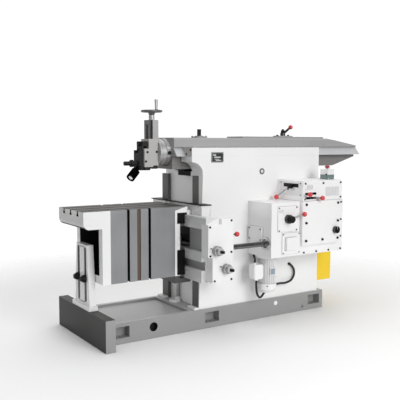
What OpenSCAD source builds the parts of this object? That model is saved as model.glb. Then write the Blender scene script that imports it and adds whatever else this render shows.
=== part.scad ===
// Metal shaper: a cutting ram slides on a hollow column above a box table that
// hangs on a cross rail.  +X runs to the rear of the ram, -Y to the operator, +Z up.
// The origin lies on the floor at the middle of the four corner foundation bolts.

/* [Base] */
// Front face of the front bar
bar_x = -952; // [-1000:1:-920]
// Thickness of the front bar along the ram
bar_t = 64; // [50:1:90]
// Half length of the front bar across the ram
bar_hw = 373; // [330:1:420]
// Height of the front bar
bar_h = 195; // [160:1:230]
// Rear face of the base
base_rear = 882; // [860:1:920]
// Half width of the base
base_hw = 252; // [245:1:300]
// Height of the base
base_h = 133; // [110:1:160]
// Wall of the base casting
base_wall = 32; // [20:1:45]
// Radius of the corner between the bar and the base
base_fillet = 75; // [40:1:90]
// Depth of the chip tray
tray_d = 18; // [8:1:30]
// Distance from the origin to the corner bolts along the ram
bolt_x = 793; // [740:1:810]
// Place of the middle bolts along the ram
bolt_mid_x = -120; // [-200:1:0]
// Distance of the foundation bolts from the side of the base
bolt_in = 38; // [30:1:46]
// Diameter of the foundation bolt holes
bolt_d = 26; // [18:1:32]
// Width of the bolt pockets
pocket_w = 112; // [80:1:130]
// Depth of the bolt pockets
pocket_d = 62; // [50:1:80]
// Lower edge of the bolt pockets
pocket_z = 38; // [25:1:45]
// Height of the bolt pockets
pocket_h = 70; // [50:1:80]
// Diameter of the round hole in the side of the base
side_hole_d = 58; // [40:1:64]
// Place of that hole along the ram
side_hole_x = -567; // [-620:1:-520]

/* [Column] */
// Front face of the column
col_front = -189; // [-200:1:-170]
// Rear face of the column
col_rear = 836; // [800:1:860]
// Half width of the column
col_hw = 238; // [225:1:244]
// Height of the seat that carries the ram
seat_z = 1143; // [1130:1:1160]
// Wall of the column
col_wall = 30; // [20:1:40]
// Front end of the ram guides
nose_x = -273; // [-290:1:-260]
// Front face of the column ways
way_x = -220; // [-226:1:-215]
// Inner edge of the column ways
way_in = 160; // [150:1:180]
// Top of the column ways
way_top = 1018; // [1000:1:1030]
// Top of the ram guides
guide_top = 1200; // [1190:1:1210]

/* [Ram] */
// Front face of the ram
ram_front = -339; // [-350:1:-325]
// Rear end of the ram
ram_rear = 1342; // [1300:1:1380]
// Half width of the ram above the guides
ram_hw = 126; // [118:1:134]
// Top of the ram
ram_top = 1266; // [1255:1:1280]
// Half width of the ram at the foot of its dovetail
dove_hw = 163; // [150:1:175]
// Half width of the ram at the neck of its dovetail
neck_hw = 115; // [105:1:120]
// Half width of the web below the dovetail
web_hw = 100; // [90:1:104]
// Underside of the web
web_z = 1058; // [1050:1:1075]
// Height of the raised strip on the ram
strip_h = 11; // [4:1:16]
// Height of the swivel axis of the head
head_z = 1169; // [1160:1:1175]
// Diameter of the swivel head
head_d = 184; // [170:1:190]

/* [Tool head] */
// Front face of the swivel head
disc_x = -415; // [-420:1:-410]
// Front face of the vertical bar
bar_face = -471; // [-475:1:-467]
// Half width of the vertical bar
vbar_hw = 52; // [50:1:54]
// Top of the vertical bar
vbar_top = 1380; // [1360:1:1400]
// Half width of the tool slide
slide_hw = 55; // [54:1:60]
// Top of the tool slide
slide_top = 1257; // [1245:1:1262]
// Underside of the tool slide
slide_z = 1074; // [1065:1:1085]
// Front face of the lower half of the tool slide
slide_front = -519; // [-523:1:-515]
// Depth of the upper half of the tool slide
slide_step = 33; // [30:1:35]
// Front face of the clapper box
clap_front = -548; // [-553:1:-546]
// Diameter of the handwheel
wheel_d = 143; // [120:1:160]
// Height of the handwheel rim
wheel_z = 1438; // [1425:1:1450]
// Front tip of the tool post
post_x = -638; // [-645:1:-630]
// Height of the tool post axis
post_z = 1098; // [1092:1:1104]
// Diameter of the work lamp
lamp_d = 55; // [50:1:60]

/* [Cross rail] */
// Front face of the rail guides
rail_x = -300; // [-305:1:-295]
// Half length of the rail
rail_hw = 394; // [380:1:410]
// Underside of the rail
rail_z = 348; // [340:1:360]
// Top of the upper guide
rail_guide_top = 765; // [750:1:775]
// Top of the slide that runs on the column ways
rail_top = 830; // [815:1:845]
// Half width of that slide
rail_slide_hw = 318; // [300:1:330]
// Outer face of the end box
end_y = -470; // [-480:1:-460]
// Rear face of the end box
end_rear = -107; // [-115:1:-100]
// Diameter of the two feed dials
dial_d = 64; // [56:1:70]
// Diameter of the elevating screw
lift_d = 24; // [20:1:26]

/* [Table] */
// Front edge of the table top
table_front = -1008; // [-1020:1:-990]
// Front face of the table box
box_front = -887; // [-887:1:-870]
// Rear face of the table box
box_rear = -375; // [-380:1:-370]
// Half width of the table
table_hw = 197; // [190:1:205]
// Height of the table top
table_top = 820; // [810:1:830]
// Underside of the table
table_z = 367; // [360:1:380]
// Wall of the table
table_wall = 50; // [40:1:56]
// Width of the T-slots
slot_w = 18; // [14:1:20]
// Width of the wide part of the T-slots
slot_wide = 30; // [26:1:34]
// Spacing of the T-slots in the table top
slot_pitch = 108; // [95:1:115]

/* [Gear boxes] */
// Left face of the feed box
feed_x = 187; // [180:1:195]
// Outer face of the feed box
feed_y = -488; // [-495:1:-480]
// Underside of the feed box
feed_z = 472; // [465:1:480]
// Top of the feed box
feed_top = 838; // [830:1:845]
// Left face of the control box
ctrl_x = 450; // [440:1:460]
// Rear face of the control box
ctrl_rear = 815; // [800:1:825]
// Outer face of the control box
ctrl_y = -500; // [-506:1:-494]
// Height of the control box above the feed box
ctrl_h = 138; // [128:1:148]
// Wall of both boxes
box_wall = 14; // [10:1:18]
// Diameter of the red lever balls
ball_d = 34; // [28:1:40]
// Diameter of the lever rods
lever_d = 10; // [8:1:14]

/* [Drives] */
// Diameter of the feed motor
fmotor_d = 126; // [115:1:135]
// Place of the feed motor along the ram
fmotor_x = 256; // [252:1:262]
// Distance of the feed motor from the side of the column
fmotor_off = 122; // [112:1:132]
// Lower end of the feed motor
fmotor_z = 219; // [210:1:230]
// Diameter of the main motor
motor_d = 200; // [180:1:210]
// Module of the first gear pair
mod_a = 5; // [5:1:5]
// Module of the bull gear pair
mod_b = 6; // [6:1:6]
// Gap between the foot of the rocker arm and the floor of the column
rocker_gap = 7; // [4:1:20]
// Distance of the ram behind the middle of its stroke
ram_behind = 250; // [240:1:260]
// Diameter of the shaft between the feed box and the end box
shaft_d = 34; // [30:1:38]
// Diameter of the motor cable
cable_d = 15; // [10:1:16]

/* [Clearances] */
// Gap between sliding faces
gap = 0.3; // [0.2:0.05:0.5]
// Gap all round a running pin or shaft
run = 0.06; // [0.03:0.01:0.1]

/* [Hidden] */
$fn = 64;
// How far a cut runs past the face that it opens
over = 1;

// Colours of the finishes
white_paint = [0.92, 0.92, 0.92];
grey_paint = [0.60, 0.60, 0.60];
dark_iron = [0.30, 0.30, 0.29];
steel = [0.70, 0.70, 0.72];
black = [0.08, 0.08, 0.08];
red = [0.80, 0.12, 0.14];
yellow = [0.95, 0.82, 0.15];

// Base and column
base_in = bar_x + bar_t;
bolt_y = base_hw - bolt_in;
bay_y = bolt_y - pocket_w / 2 - base_wall;
bay_split = bolt_mid_x + pocket_w / 2;
col_in_x0 = col_front + col_wall;
col_in_x1 = col_rear - col_wall;
col_in_y = col_hw - col_wall;
col_floor = base_h + col_wall;
ledge_z = web_z - base_wall / 2;
slot_hw = web_hw + base_wall / 4;
nose_r = seat_z - guide_top + head_d - col_wall - base_wall / 4;
way_undercut = (col_front - way_x) / 2;
screw_d = 16;
screw_h = screw_d / 2;

// Rear opening of the column, below the belt guard
motor_x = col_rear + screw_d;
motor_z = 330;
guard_l = 160;
guard_x = col_rear + guard_l;
guard_z0 = 200;
guard_z1 = 640;
guard_t = 4;
guard_hw = col_in_y + screw_h;
door_y = col_in_y - lever_d / 2;
door_z0 = guard_z0 + box_wall;
door_z1 = guard_z1 - col_wall;

// Gear train
bull_teeth = 70;
bull_pinion = 18;
back_teeth = 60;
back_pinion = 20;
bull_x = 300;
bull_z = 640;
bull_y0 = 50;
bull_w = 60;
back_angle = -25;
input_angle = 75;
bull_hub_d = 140;
bull_reach = mod_b * (bull_teeth + bull_pinion) / 2;
back_reach = mod_a * (back_teeth + back_pinion) / 2;
back_x = bull_x + bull_reach * cos(back_angle);
back_z = bull_z + bull_reach * sin(back_angle);
input_x = back_x + back_reach * cos(input_angle);
input_z = back_z + back_reach * sin(input_angle);
lane = col_in_y / 16;
back_y = -8.5 * lane;
back_w = 3.85 * lane;
pulley_y = -15 * lane;
pulley_w = 4.25 * lane;
pulley_d = 250;
motor_pulley_d = 120;
shaft_core = 40;
motor_w = 19.2 * lane;
crank_r = 145;
belt_t = 11;

// Rocker arm: it leans back by the angle that belongs to the ram's place
rocker_x = bull_x;
rocker_t = 60;
rocker_w = 120;
rocker_z = col_floor + rocker_w / 2 + rocker_gap;
ram_pin_z = web_z;
rocker_l = norm([ram_behind, ram_pin_z - rocker_z]);
rocker_lean = asin(ram_behind / rocker_l);
rocker_slot = 62;
rocker_pin_d = 60;
ram_pin_d = 40;
ram_pin_x = rocker_x + ram_behind;
fork_gap = 8;
// Place of the crank pin: on the line of the leaning rocker arm
crank_d = bull_z - rocker_z;
crank_a = rocker_lean + acos(-crank_d * sin(rocker_lean) / crank_r) - 90;

// Ram, its screw and its levers
slope_x = 1029;
tail_top = 1212;
tail_web = 1127;
web_end = 1111;
ram_in_hw = web_hw - box_wall - over * 4;
ram_in_top = ram_top - base_wall;
strip_x = 240;
position_x = -63;
position_d = 30;
clamp_x = 689;
clamp_d = 24;
pivot_d = 50;
ram_screw_z = 1168;
ram_screw_d = 34;
bevel_d = 76;
ram_block_l = 320;
ram_block_x = ram_pin_x;
sq = 20;
sq_h = 45;
clamp_ball = [76, 84];

// Head
ring_x = disc_x + col_wall + base_wall / 2;
slide_back = bar_face + box_wall + over;
dove_out = vbar_hw - box_wall;
dove_in = dove_out - box_wall / 2;
apron_hw = slide_hw - box_wall - over;
cheek_in = apron_hw - box_wall;
apron_step_z = (slide_top + slide_z) / 2 + box_wall + over * 4;
clap_back = slide_front - box_wall / 2;
pin_x = (clap_front + clap_back - gap) / 2;
pin_z = apron_step_z - box_wall * 2;
pin_d = 20;
clap_pin_d = 10;
slide_screw_d = 24;
slide_axis_x = (slide_back + disc_x) / 2;
lamp_tilt = 51;
lamp_turn = 22.5;
lamp_l = 70;
lamp_stem = 32;
lamp_stem_d = 18;
lamp_pin_d = 12;
lamp_at = [-566, -56, 1072];
post_d = 40;
post_collar_d = 48;
post_collar_x = clap_front - col_wall - over;
post_screw_d = 20;
apron_bolt_d = 30;
handle_l = 66;
nut_hw = 18;
nut_z = 1180;

// Rail, table and their screws
web_front = rail_x + base_wall - over * 4;
slide_face = rail_x + box_wall * 3 + screw_h;
lift_x = -206;
lift_y = 45;
lift_screw_top = 560;
lift_nut_h = 70;
boss_off = 26;
rail_gap_z0 = 425;
rail_gap_z1 = 482;
rail_low_top = 543;
window_hw = 212;
guide_h = 74;
cross_z = 561;
cross_x = -240;
cross_d = 22;
lift_dial_x = -167;
lift_dial_z = 441;
saddle_in = box_rear + base_wall + over * 6;
arm_t = 30;
hook_w = 12;
hook_d = 20;
top_rear = -282;
top_t = 70;
lip_z = 712;
side_slots = [-711, -562];
side_groove = -638;
support_x0 = -935;
support_y = 10;
support_hw = 82;
support_top = 600;
foot_x0 = -948;
foot_hw = 135;
foot_h = 28;
support_slot_y = 52;
support_slot_w = 30;
support_bolt_z = 388;
guide_end_x = -200;
end_step_z = 725;
end_step_x = -267;
end_low_z = 357;
end_top_z = 758;
end_shelf_z = 520;
lever_y = -432;
lever_z = 648;
rail_ball = 54;
cross_nut_z = [548, 596];
lip_r = 40;

// Feed shaft: it tilts at both ends and telescopes in the middle
shaft_y = -438;
shaft_z = 566;
joint_d = 60;
bar_joint_d = 40;
tube_end = -72;
bar_end = 96;
feed_bar_d = 19;
tube_bore = 28;

// Controls
cover_x0 = 434;
cover_x1 = 780;
cover_z0 = 538;
cover_t = 26;
knob_d = 60;
dial_plate_w = 170;
dial_c = [324, 727];
feed_plate_c = [356, 560];
feed_plate_w = 156;
feed_ball = [104, 30];
gear_ball = [-62, 84, -78];
speed_x = 519;
speed_z = [888, 859];
speed_lean = [-48, 66];
stop_c = [755, -410];
stop_w = [62, 76, 72];
fmotor_spigot = 70;
shaft_bush_d = 16;
knob_c = [738, 629];
speed_reach = 50;
button_d = 36;
fin_t = 4;
pad_w = 52;
term_z = [318, 418];
fmotor_y = -col_hw - fmotor_off;
ctrl_top = feed_top + ctrl_h;
gate_off = 140;
gate_drop = 40;
gate_y = -col_hw - gate_off;
gate_z = ctrl_top - gate_drop;
term_w = 64;
spindle_d = 12;

// Routes of the motor cables: place along the ram, distance from the side of the column, height
loop_points = [[170, 118, 305], [170, 118, 262], [178, 116, 214], [204, 108, 182], [238, 92, 182],
    [276, 74, 200], [340, 58, 228], [420, 46, 240], [500, 34, 234], [560, 26, 246], [592, 20, 282],
    [592, 16, 322], [572, 12, 350], [560, 8, 360], [560, -16, 360]];
lead_points = [[212, 34, 471.5], [212, 34, 458], [200, 58, 444], [172, 100, 440], [156, 116, 437],
    [154, 118, 428]];
function from_column(points) = [for (p = points) [p[0], -col_hw - p[1], p[2]]];
cable_route = from_column(loop_points);
cable_lead = from_column(lead_points);
lead_end = cable_lead[len(cable_lead) - 1];
cable_exit = cable_route[len(cable_route) - 1];

// Plain blocks and rods between two ends
module block(x, y, z) {
    translate([x[0], y[0], z[0]])
        cube([x[1] - x[0], y[1] - y[0], z[1] - z[0]]);
}
module rod_x(x, d, y, z) {
    translate([x[0], y, z])
        rotate([0, 90, 0])
            cylinder(d = d, h = x[1] - x[0]);
}
module rod_y(y, d, x, z) {
    translate([x, y[1], z])
        rotate([90, 0, 0])
            cylinder(d = d, h = y[1] - y[0]);
}
module rod_z(z, d, x, y) {
    translate([x, y, z[0]])
        cylinder(d = d, h = z[1] - z[0]);
}
module cone_y(y, d0, d1, x, z) {
    translate([x, y[1], z])
        rotate([90, 0, 0])
            cylinder(d1 = d1, d2 = d0, h = y[1] - y[0]);
}

// Outlines pushed along one axis: side views along Y, front views along X
module along_y(y) {
    translate([0, y[1], 0])
        rotate([90, 0, 0])
            linear_extrude(y[1] - y[0])
                children();
}
module along_x(x) {
    translate([x[0], 0, 0])
        rotate([90, 0, 90])
            linear_extrude(x[1] - x[0])
                children();
}
module both_sides() {
    children();
    mirror([0, 1, 0])
        children();
}

// Round bar with straight sides between two round ends, upright
module slot_outline(w, h) {
    translate([-w / 2, w / 2])
        square([w, h - w]);
    translate([0, w / 2])
        circle(d = w);
    translate([0, h - w / 2])
        circle(d = w);
}

// T-slot that opens upwards, as an outline about the middle of its mouth
module t_slot_outline() {
    neck = slot_w;
    translate([-slot_w / 2, -neck])
        square([slot_w, neck + over]);
    translate([-slot_wide / 2, -neck - slot_w * 3 / 4])
        square([slot_wide, slot_w * 3 / 4]);
}

// Spur gear outline with straight flanks and generous backlash
module gear_outline(teeth, mod) {
    root = mod * (teeth / 2 - 1.25);
    tip = mod * (teeth / 2 + 0.9);
    step = 360 / teeth;
    polygon([for (i = [0 : teeth - 1], p = [[-0.30, root], [-0.11, tip], [0.11, tip], [0.30, root]])
        [p[1] * cos((i + p[0]) * step), p[1] * sin((i + p[0]) * step)]]);
}

// Sweep of a round tube along a list of points
function unit(v) = v / norm(v);
function heading(p, i) = unit(p[min(i + 1, len(p) - 1)] - p[max(i - 1, 0)]);
function ring(c, t, r, n) =
    let (a = unit(cross(t, [0.31, 0.87, 0.38])), b = cross(t, a))
    [for (k = [0 : n - 1]) c + r * (a * cos(360 * k / n) + b * sin(360 * k / n))];
module tube(p, d) {
    n = 10;
    last = len(p) - 1;
    pts = [for (i = [0 : last]) each ring(p[i], heading(p, i), d / 2, n)];
    sides = [for (i = [0 : last - 1], k = [0 : n - 1])
        [i * n + k, i * n + (k + 1) % n, (i + 1) * n + (k + 1) % n, (i + 1) * n + k]];
    caps = [[for (k = [0 : n - 1]) n - 1 - k], [for (k = [0 : n - 1]) last * n + k]];
    polyhedron(pts, concat(sides, caps), convexity = 10);
}

// Socket head screw, pointing along -Y, its seat at y = 0
module cap_screw_y(d) {
    rotate([90, 0, 0])
        difference() {
            cylinder(d = d, h = d / 2);
            translate([0, 0, d / 4])
                cylinder(d = d / 2, h = d / 2, $fn = 6);
        }
}

// Lever ball on a rod from one point to another
module lever(from, to) {
    v = to - from;
    translate(from)
        rotate([0, acos(v[2] / norm(v)), atan2(v[1], v[0])])
            cylinder(d = lever_d, h = norm(v));
    translate(to)
        sphere(d = ball_d);
}

// Frame

module base_outline() {
    translate([bar_x, -bar_hw])
        square([bar_t, 2 * bar_hw]);
    translate([base_in - over, -base_hw])
        square([base_rear - base_in + over, 2 * base_hw]);
    for (side = [-1, 1])
        difference() {
            translate([base_in - over, side > 0 ? base_hw - over : -base_hw - base_fillet])
                square([base_fillet + over, base_fillet + over]);
            translate([base_in + base_fillet, side * (base_hw + base_fillet)])
                circle(r = base_fillet);
        }
}

module base() {
    color(grey_paint)
    difference() {
        union() {
            linear_extrude(base_h)
                base_outline();
            block([bar_x, base_in], [-bar_hw, bar_hw], [0, bar_h]);
        }
        // chip tray
        block([base_in + base_wall, rail_x + lever_d], [-base_hw + base_wall, base_hw - base_wall],
            [base_h - tray_d, base_h + over]);
        // hollow underside, in two bays
        block([-bolt_x + pocket_w, bay_split - pocket_w - base_wall], [-bay_y, bay_y],
            [-over, base_h - base_wall]);
        block([bay_split + base_wall, bolt_x - pocket_w], [-bay_y, bay_y], [-over, base_h - base_wall]);
        for (x = [-bolt_x, bolt_mid_x, bolt_x], side = [-1, 1]) {
            pocket(x, side);
            rod_z([-over, pocket_z + over], bolt_d, x, side * bolt_y);
        }
        rod_y([-base_hw - over, -base_hw + base_wall], side_hole_d, side_hole_x, base_h / 2 + screw_h);
    }
}
module pocket(x, side) {
    mouth = base_hw + base_fillet;
    block([x - pocket_w / 2, x + pocket_w / 2],
        side > 0 ? [base_hw - pocket_d, mouth] : [-mouth, -base_hw + pocket_d],
        [pocket_z, pocket_z + pocket_h]);
}

module column() {
    color(white_paint)
    difference() {
        union() {
            block([col_front, col_rear], [-col_hw, col_hw], [base_h, seat_z]);
            both_sides() {
                // seats of the ram, carried forward over the ways on a curved bracket
                difference() {
                    block([nose_x, col_front + over], [slot_hw, col_hw], [way_top, seat_z]);
                    rod_y([slot_hw - over, col_hw + over], 2 * nose_r, nose_x, way_top);
                }
                // flat ways with an undercut for the keepers
                block([way_x, way_x + way_undercut], [way_in, col_hw], [base_h, way_top]);
                block([way_x + way_undercut - over, col_front + over],
                    [way_in + way_undercut, col_hw], [base_h, way_top]);
            }
        }
        block([col_in_x0, col_in_x1], [-col_in_y, col_in_y], [col_floor, ledge_z]);
        // slot for the web of the ram
        block([nose_x - over, col_rear + over], [-slot_hw, slot_hw], [ledge_z - over, seat_z + over]);
        // rear opening for the motor
        block([col_in_x1 - over, col_rear + over], [-door_y, door_y], [door_z0, door_z1]);
        // bearings of the gear train and of the rocker arm
        rod_y([0, col_hw + over], bull_hub_d + 2 * run, bull_x, bull_z);
        for (p = [[back_x, back_z], [input_x, input_z]])
            rod_y([-col_hw - over, col_hw + over], shaft_core + 2 * run, p[0], p[1]);
        rod_y([-col_hw - over, col_hw + over], rocker_pin_d + 2 * run, rocker_x, rocker_z);
        // cable entry
        rod_y([-col_hw - over, -col_in_y + over], cable_d + lever_d, cable_exit[0], cable_exit[2]);
    }
}

module ram_guides() {
    color(white_paint)
    both_sides()
        along_x([nose_x, col_rear])
            polygon([[col_hw, seat_z], [col_hw, guide_top],
                [neck_hw + gap, guide_top], [dove_hw + gap, seat_z]]);
}

// Screws of the guides, of the feed box cover and of the control box
guide_screw_x = [for (i = [0 : 6]) nose_x + col_wall + i * (col_rear - nose_x - 2 * col_wall) / 6];
cover_screws = [[467, 817], [467, 692], [467, 570], [618, 570], [762, 817], [762, 692], [762, 570]];
ctrl_screws = [[468, 958], [468, 918], [632, 958], [797, 958], [797, 856]];
edge_screws = [[472, 486], [587, 486], [702, 486], [817, 486], [817, 575], [817, 695], [817, 817]];
module frame_screws() {
    color(black) {
        for (x = guide_screw_x, side = [-1, 1])
            translate([x, side * (col_hw - base_wall), guide_top])
                rotate([-90, 0, 0])
                    cap_screw_y(screw_d);
        for (p = cover_screws)
            translate([p[0], feed_y - cover_t, p[1]])
                cap_screw_y(screw_d);
        for (p = ctrl_screws)
            translate([p[0], ctrl_y, p[1]])
                cap_screw_y(screw_d * 3 / 4);
        for (p = edge_screws)
            translate([p[0], feed_y, p[1]])
                cap_screw_y(screw_d * 3 / 4);
    }
}

module belt_guard() {
    color(yellow)
    difference() {
        block([col_rear, guard_x], [-guard_hw, guard_hw], [guard_z0, guard_z1]);
        block([col_rear - over, guard_x - guard_t],
            [-guard_hw + guard_t, guard_hw - guard_t],
            [guard_z0 + guard_t, guard_z1 - guard_t]);
    }
}

module main_motor() {
    color(dark_iron)
    difference() {
        union() {
            rod_y([-motor_w / 2, motor_w / 2], motor_d, motor_x, motor_z);
            // feet down to the column floor
            block([motor_x - motor_d * 0.6, col_in_x1], [-motor_d * 0.4, motor_d * 0.4],
                [col_floor, motor_z - motor_d * 0.35]);
            block([col_in_x1 - over, col_rear + col_wall], [-motor_d * 0.4, motor_d * 0.4],
                [door_z0 + over, motor_z - motor_d * 0.35]);
        }
        rod_y([-motor_w / 2 - over, -motor_w / 2 + col_wall], shaft_core + 2 * run, motor_x, motor_z);
    }
}

// Gear boxes on the operator's side

module feed_box() {
    color(white_paint)
    difference() {
        block([feed_x, col_rear], [feed_y, -col_hw], [feed_z, feed_top]);
        block([feed_x + box_wall, col_rear - box_wall], [feed_y + box_wall, -col_hw + over],
            [feed_z + box_wall, feed_top - box_wall]);
        rod_x([feed_x - over, feed_x + box_wall + over], joint_d + box_wall, shaft_y, shaft_z);
        rod_z([feed_z - over, feed_z + box_wall + over], fmotor_spigot, fmotor_x, fmotor_y);
        rod_y([feed_y - over, feed_y + box_wall + over], shaft_bush_d + 2 * run, dial_c[0], dial_c[1]);
        rod_y([feed_y - over, feed_y + box_wall + over], shaft_bush_d + 2 * run, knob_c[0], knob_c[1]);
    }
}

module feed_cover() {
    color(white_paint)
    difference() {
        block([cover_x0, cover_x1], [feed_y - cover_t, feed_y], [cover_z0, feed_top]);
        rod_y([feed_y - cover_t - over, feed_y + over], shaft_bush_d + 2 * run, knob_c[0], knob_c[1]);
    }
}

// Dial plate, and the plate with the index block below it
module feed_plates() {
    half = dial_plate_w / 2;
    color(white_paint) {
        difference() {
            block([dial_c[0] - half, dial_c[0] + half], [feed_y - lever_d / 2, feed_y],
                [dial_c[1] - half, dial_c[1] + half]);
            rod_y([feed_y - lever_d, feed_y + over], shaft_bush_d + 2 * run, dial_c[0], dial_c[1]);
        }
        block([feed_plate_c[0] - feed_plate_w / 2, feed_plate_c[0] + feed_plate_w / 2],
            [feed_y - lever_d / 2, feed_y],
            [feed_plate_c[1] - half * 0.85, feed_plate_c[1] + half * 0.85]);
        block([feed_plate_c[0] - half * 0.65, feed_plate_c[0] + half * 0.55],
            [feed_y - cover_t, feed_y - lever_d / 2],
            [feed_plate_c[1] - half / 2, feed_plate_c[1] + half / 2]);
    }
}

module control_box() {
    color(white_paint)
    rod_z([feed_top + box_wall - over, ctrl_top - box_wall + over], spindle_d,
        speed_x, ctrl_y + 4 * box_wall);
    color(white_paint)
    difference() {
        block([ctrl_x, ctrl_rear], [ctrl_y, -col_hw], [feed_top, ctrl_top]);
        block([ctrl_x + box_wall, ctrl_rear - box_wall], [ctrl_y + box_wall, -col_hw + over],
            [feed_top + box_wall, ctrl_top - box_wall]);
        // slots of the speed levers
        for (z = speed_z)
            block([speed_x - speed_reach, speed_x + speed_reach], [ctrl_y - over, ctrl_y + box_wall + over],
                [z - lever_d * 0.8, z + lever_d * 0.8]);
        // bush of the gear lever
        rod_x([ctrl_x - over, ctrl_x + box_wall + over], shaft_bush_d + 2 * run, gate_y, gate_z);
        // button hole of the stop box
        rod_z([ctrl_top - box_wall - over, ctrl_top + over], button_d / 2, stop_c[0], stop_c[1]);
    }
}

module stop_box() {
    color(grey_paint)
    difference() {
        block([stop_c[0] - stop_w[0] / 2, stop_c[0] + stop_w[0] / 2],
            [stop_c[1] - stop_w[1] / 2, stop_c[1] + stop_w[1] / 2], [ctrl_top, ctrl_top + stop_w[2]]);
        rod_z([ctrl_top + box_wall, ctrl_top + stop_w[2] + over], button_d / 2 + 2 * gap,
            stop_c[0], stop_c[1]);
    }
}

module stop_button() {
    stem_z = ctrl_top + stop_w[2] / 2;
    cap_z = ctrl_top + stop_w[2] + lever_d;
    color(red) {
        rod_z([stem_z, cap_z + over], button_d / 2, stop_c[0], stop_c[1]);
        rod_z([cap_z, cap_z + lever_d], button_d, stop_c[0], stop_c[1]);
        translate([stop_c[0], stop_c[1], cap_z + lever_d])
            cylinder(d1 = button_d, d2 = button_d * 0.6, h = lever_d / 2);
    }
}

module feed_motor() {
    flange_z = feed_z - box_wall;
    body_z = fmotor_z + fmotor_d / 2;
    color(white_paint) {
        rod_z([flange_z, feed_z], fmotor_d * 1.15, fmotor_x, fmotor_y);
        rod_z([feed_z - over, feed_z + box_wall], fmotor_spigot - gap, fmotor_x, fmotor_y);
        rod_z([body_z, flange_z + over], fmotor_d * 0.93, fmotor_x, fmotor_y);
        // cooling fins
        for (i = [-9 : 9])
            rotate_about(fmotor_x, fmotor_y, i * 15)
                block([0, fmotor_d / 2], [-fin_t / 2, fin_t / 2], [body_z, flange_z - box_wall]);
        // pad of the terminal box
        block([fmotor_x - fmotor_d / 2, fmotor_x], [fmotor_y - pad_w / 2, fmotor_y + pad_w / 2],
            [term_z[0] + lever_d, term_z[1] - lever_d]);
    }
}
module rotate_about(x, y, a) {
    translate([x, y, 0])
        rotate([0, 0, a])
            children();
}

module fan_cowl() {
    body_z = fmotor_z + fmotor_d / 2;
    color(white_paint)
    translate([fmotor_x, fmotor_y, 0])
        difference() {
            union() {
                translate([0, 0, fmotor_z + fmotor_d / 5])
                    cylinder(d = fmotor_d * 1.04, h = fmotor_d * 0.3);
                translate([0, 0, fmotor_z])
                    cylinder(d1 = fmotor_d * 0.72, d2 = fmotor_d * 1.04, h = fmotor_d / 5);
            }
            translate([0, 0, fmotor_z + fmotor_d / 5])
                cylinder(d = fmotor_d * 0.98, h = fmotor_d);
        }
}

module terminal_box() {
    color(white_paint) {
        block([fmotor_x - fmotor_d, fmotor_x - fmotor_d / 2], [fmotor_y - term_w / 2, fmotor_y + term_w / 2],
            term_z);
        rod_z([cable_route[0][2], term_z[0] + over], cable_d * 1.5, cable_route[0][0], cable_route[0][1]);
        rod_z([term_z[1] - over, lead_end[2]], cable_d * 1.5, lead_end[0], lead_end[1]);
    }
}

module motor_cable() {
    color(black) {
        tube(cable_route, cable_d);
        tube(cable_lead, cable_d);
    }
}

module shaft_flange() {
    color(steel)
    difference() {
        union() {
            rod_x([feed_x - box_wall, feed_x], joint_d * 1.5, shaft_y, shaft_z);
            rod_x([feed_x - over, feed_x + box_wall], joint_d + box_wall - gap, shaft_y, shaft_z);
        }
        translate([feed_x, shaft_y, shaft_z])
            rotate([0, 90, 0])
                cylinder(d = joint_d, h = 4 * box_wall, center = true);
    }
}

// Elevating screw and its flange on the base

module lift_boss() {
    boss_x = lift_x - boss_off;
    color(white_paint)
    difference() {
        union() {
            rod_z([base_h, base_h + screw_d], lift_d * 3.5, boss_x, lift_y);
            rod_z([base_h, base_h + 2 * screw_d], lift_d * 1.6, lift_x - lever_d / 2, lift_y);
        }
        rod_z([base_h + lever_d / 2, base_h + 3 * screw_d], lift_d + 2 * run, lift_x, lift_y);
        // flat towards the column
        block([col_front - lever_d / 2, col_front + boss_off], [lift_y - bar_t, lift_y + bar_t],
            [base_h - over, base_h + 3 * screw_d]);
    }
}
module lift_screw() {
    color(steel)
    rod_z([base_h + lever_d / 2, lift_screw_top], lift_d, lift_x, lift_y);
}

// Ram

module ram_section() {
    cut = base_wall / 2 - over * 4;
    polygon([for (s = [1, -1], p = s > 0 ?
        [[web_hw, web_z], [web_hw, seat_z + gap], [dove_hw, seat_z + gap], [neck_hw, guide_top + gap],
         [neck_hw, guide_top + over * 3], [ram_hw, guide_top + over * 3], [ram_hw, ram_top - cut],
         [ram_hw - cut, ram_top]] :
        [[-ram_hw + cut, ram_top], [-ram_hw, ram_top - cut], [-ram_hw, guide_top + over * 3],
         [-neck_hw, guide_top + over * 3], [-neck_hw, guide_top + gap], [-dove_hw, seat_z + gap],
         [-web_hw, seat_z + gap], [-web_hw, web_z]]) p]);
}
// Side view of the ram: the tail slopes down on top and up below
module ram_side() {
    polygon([[ram_front, web_z], [web_end, web_z], [ram_rear, tail_web], [ram_rear, tail_top],
        [slope_x, ram_top], [ram_front, ram_top]]);
}
module ram() {
    color(grey_paint)
    difference() {
        union() {
            intersection() {
                along_x([ram_front, ram_rear])
                    ram_section();
                along_y([-dove_hw, dove_hw])
                    ram_side();
            }
            rod_x([ring_x, ram_front + over], head_d, 0, head_z);
            block([strip_x, slope_x - screw_d], [-ram_hw + base_wall, ram_hw - base_wall],
                [ram_top - over, ram_top + strip_h]);
        }
        // hollow, open below
        block([ram_front + base_wall, web_end - base_wall], [-ram_in_hw, ram_in_hw],
            [web_z - over, ram_in_top]);
        rod_z([ram_in_top - over, ram_top + over], position_d + 2 * run, position_x, 0);
        rod_z([ram_in_top - over, ram_top + strip_h + over], clamp_d + 2 * run, clamp_x, 0);
        // pivot of the swivel head
        rod_x([ring_x - over, ram_front + base_wall + over], pivot_d + 2 * run, 0, head_z);
    }
}

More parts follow.
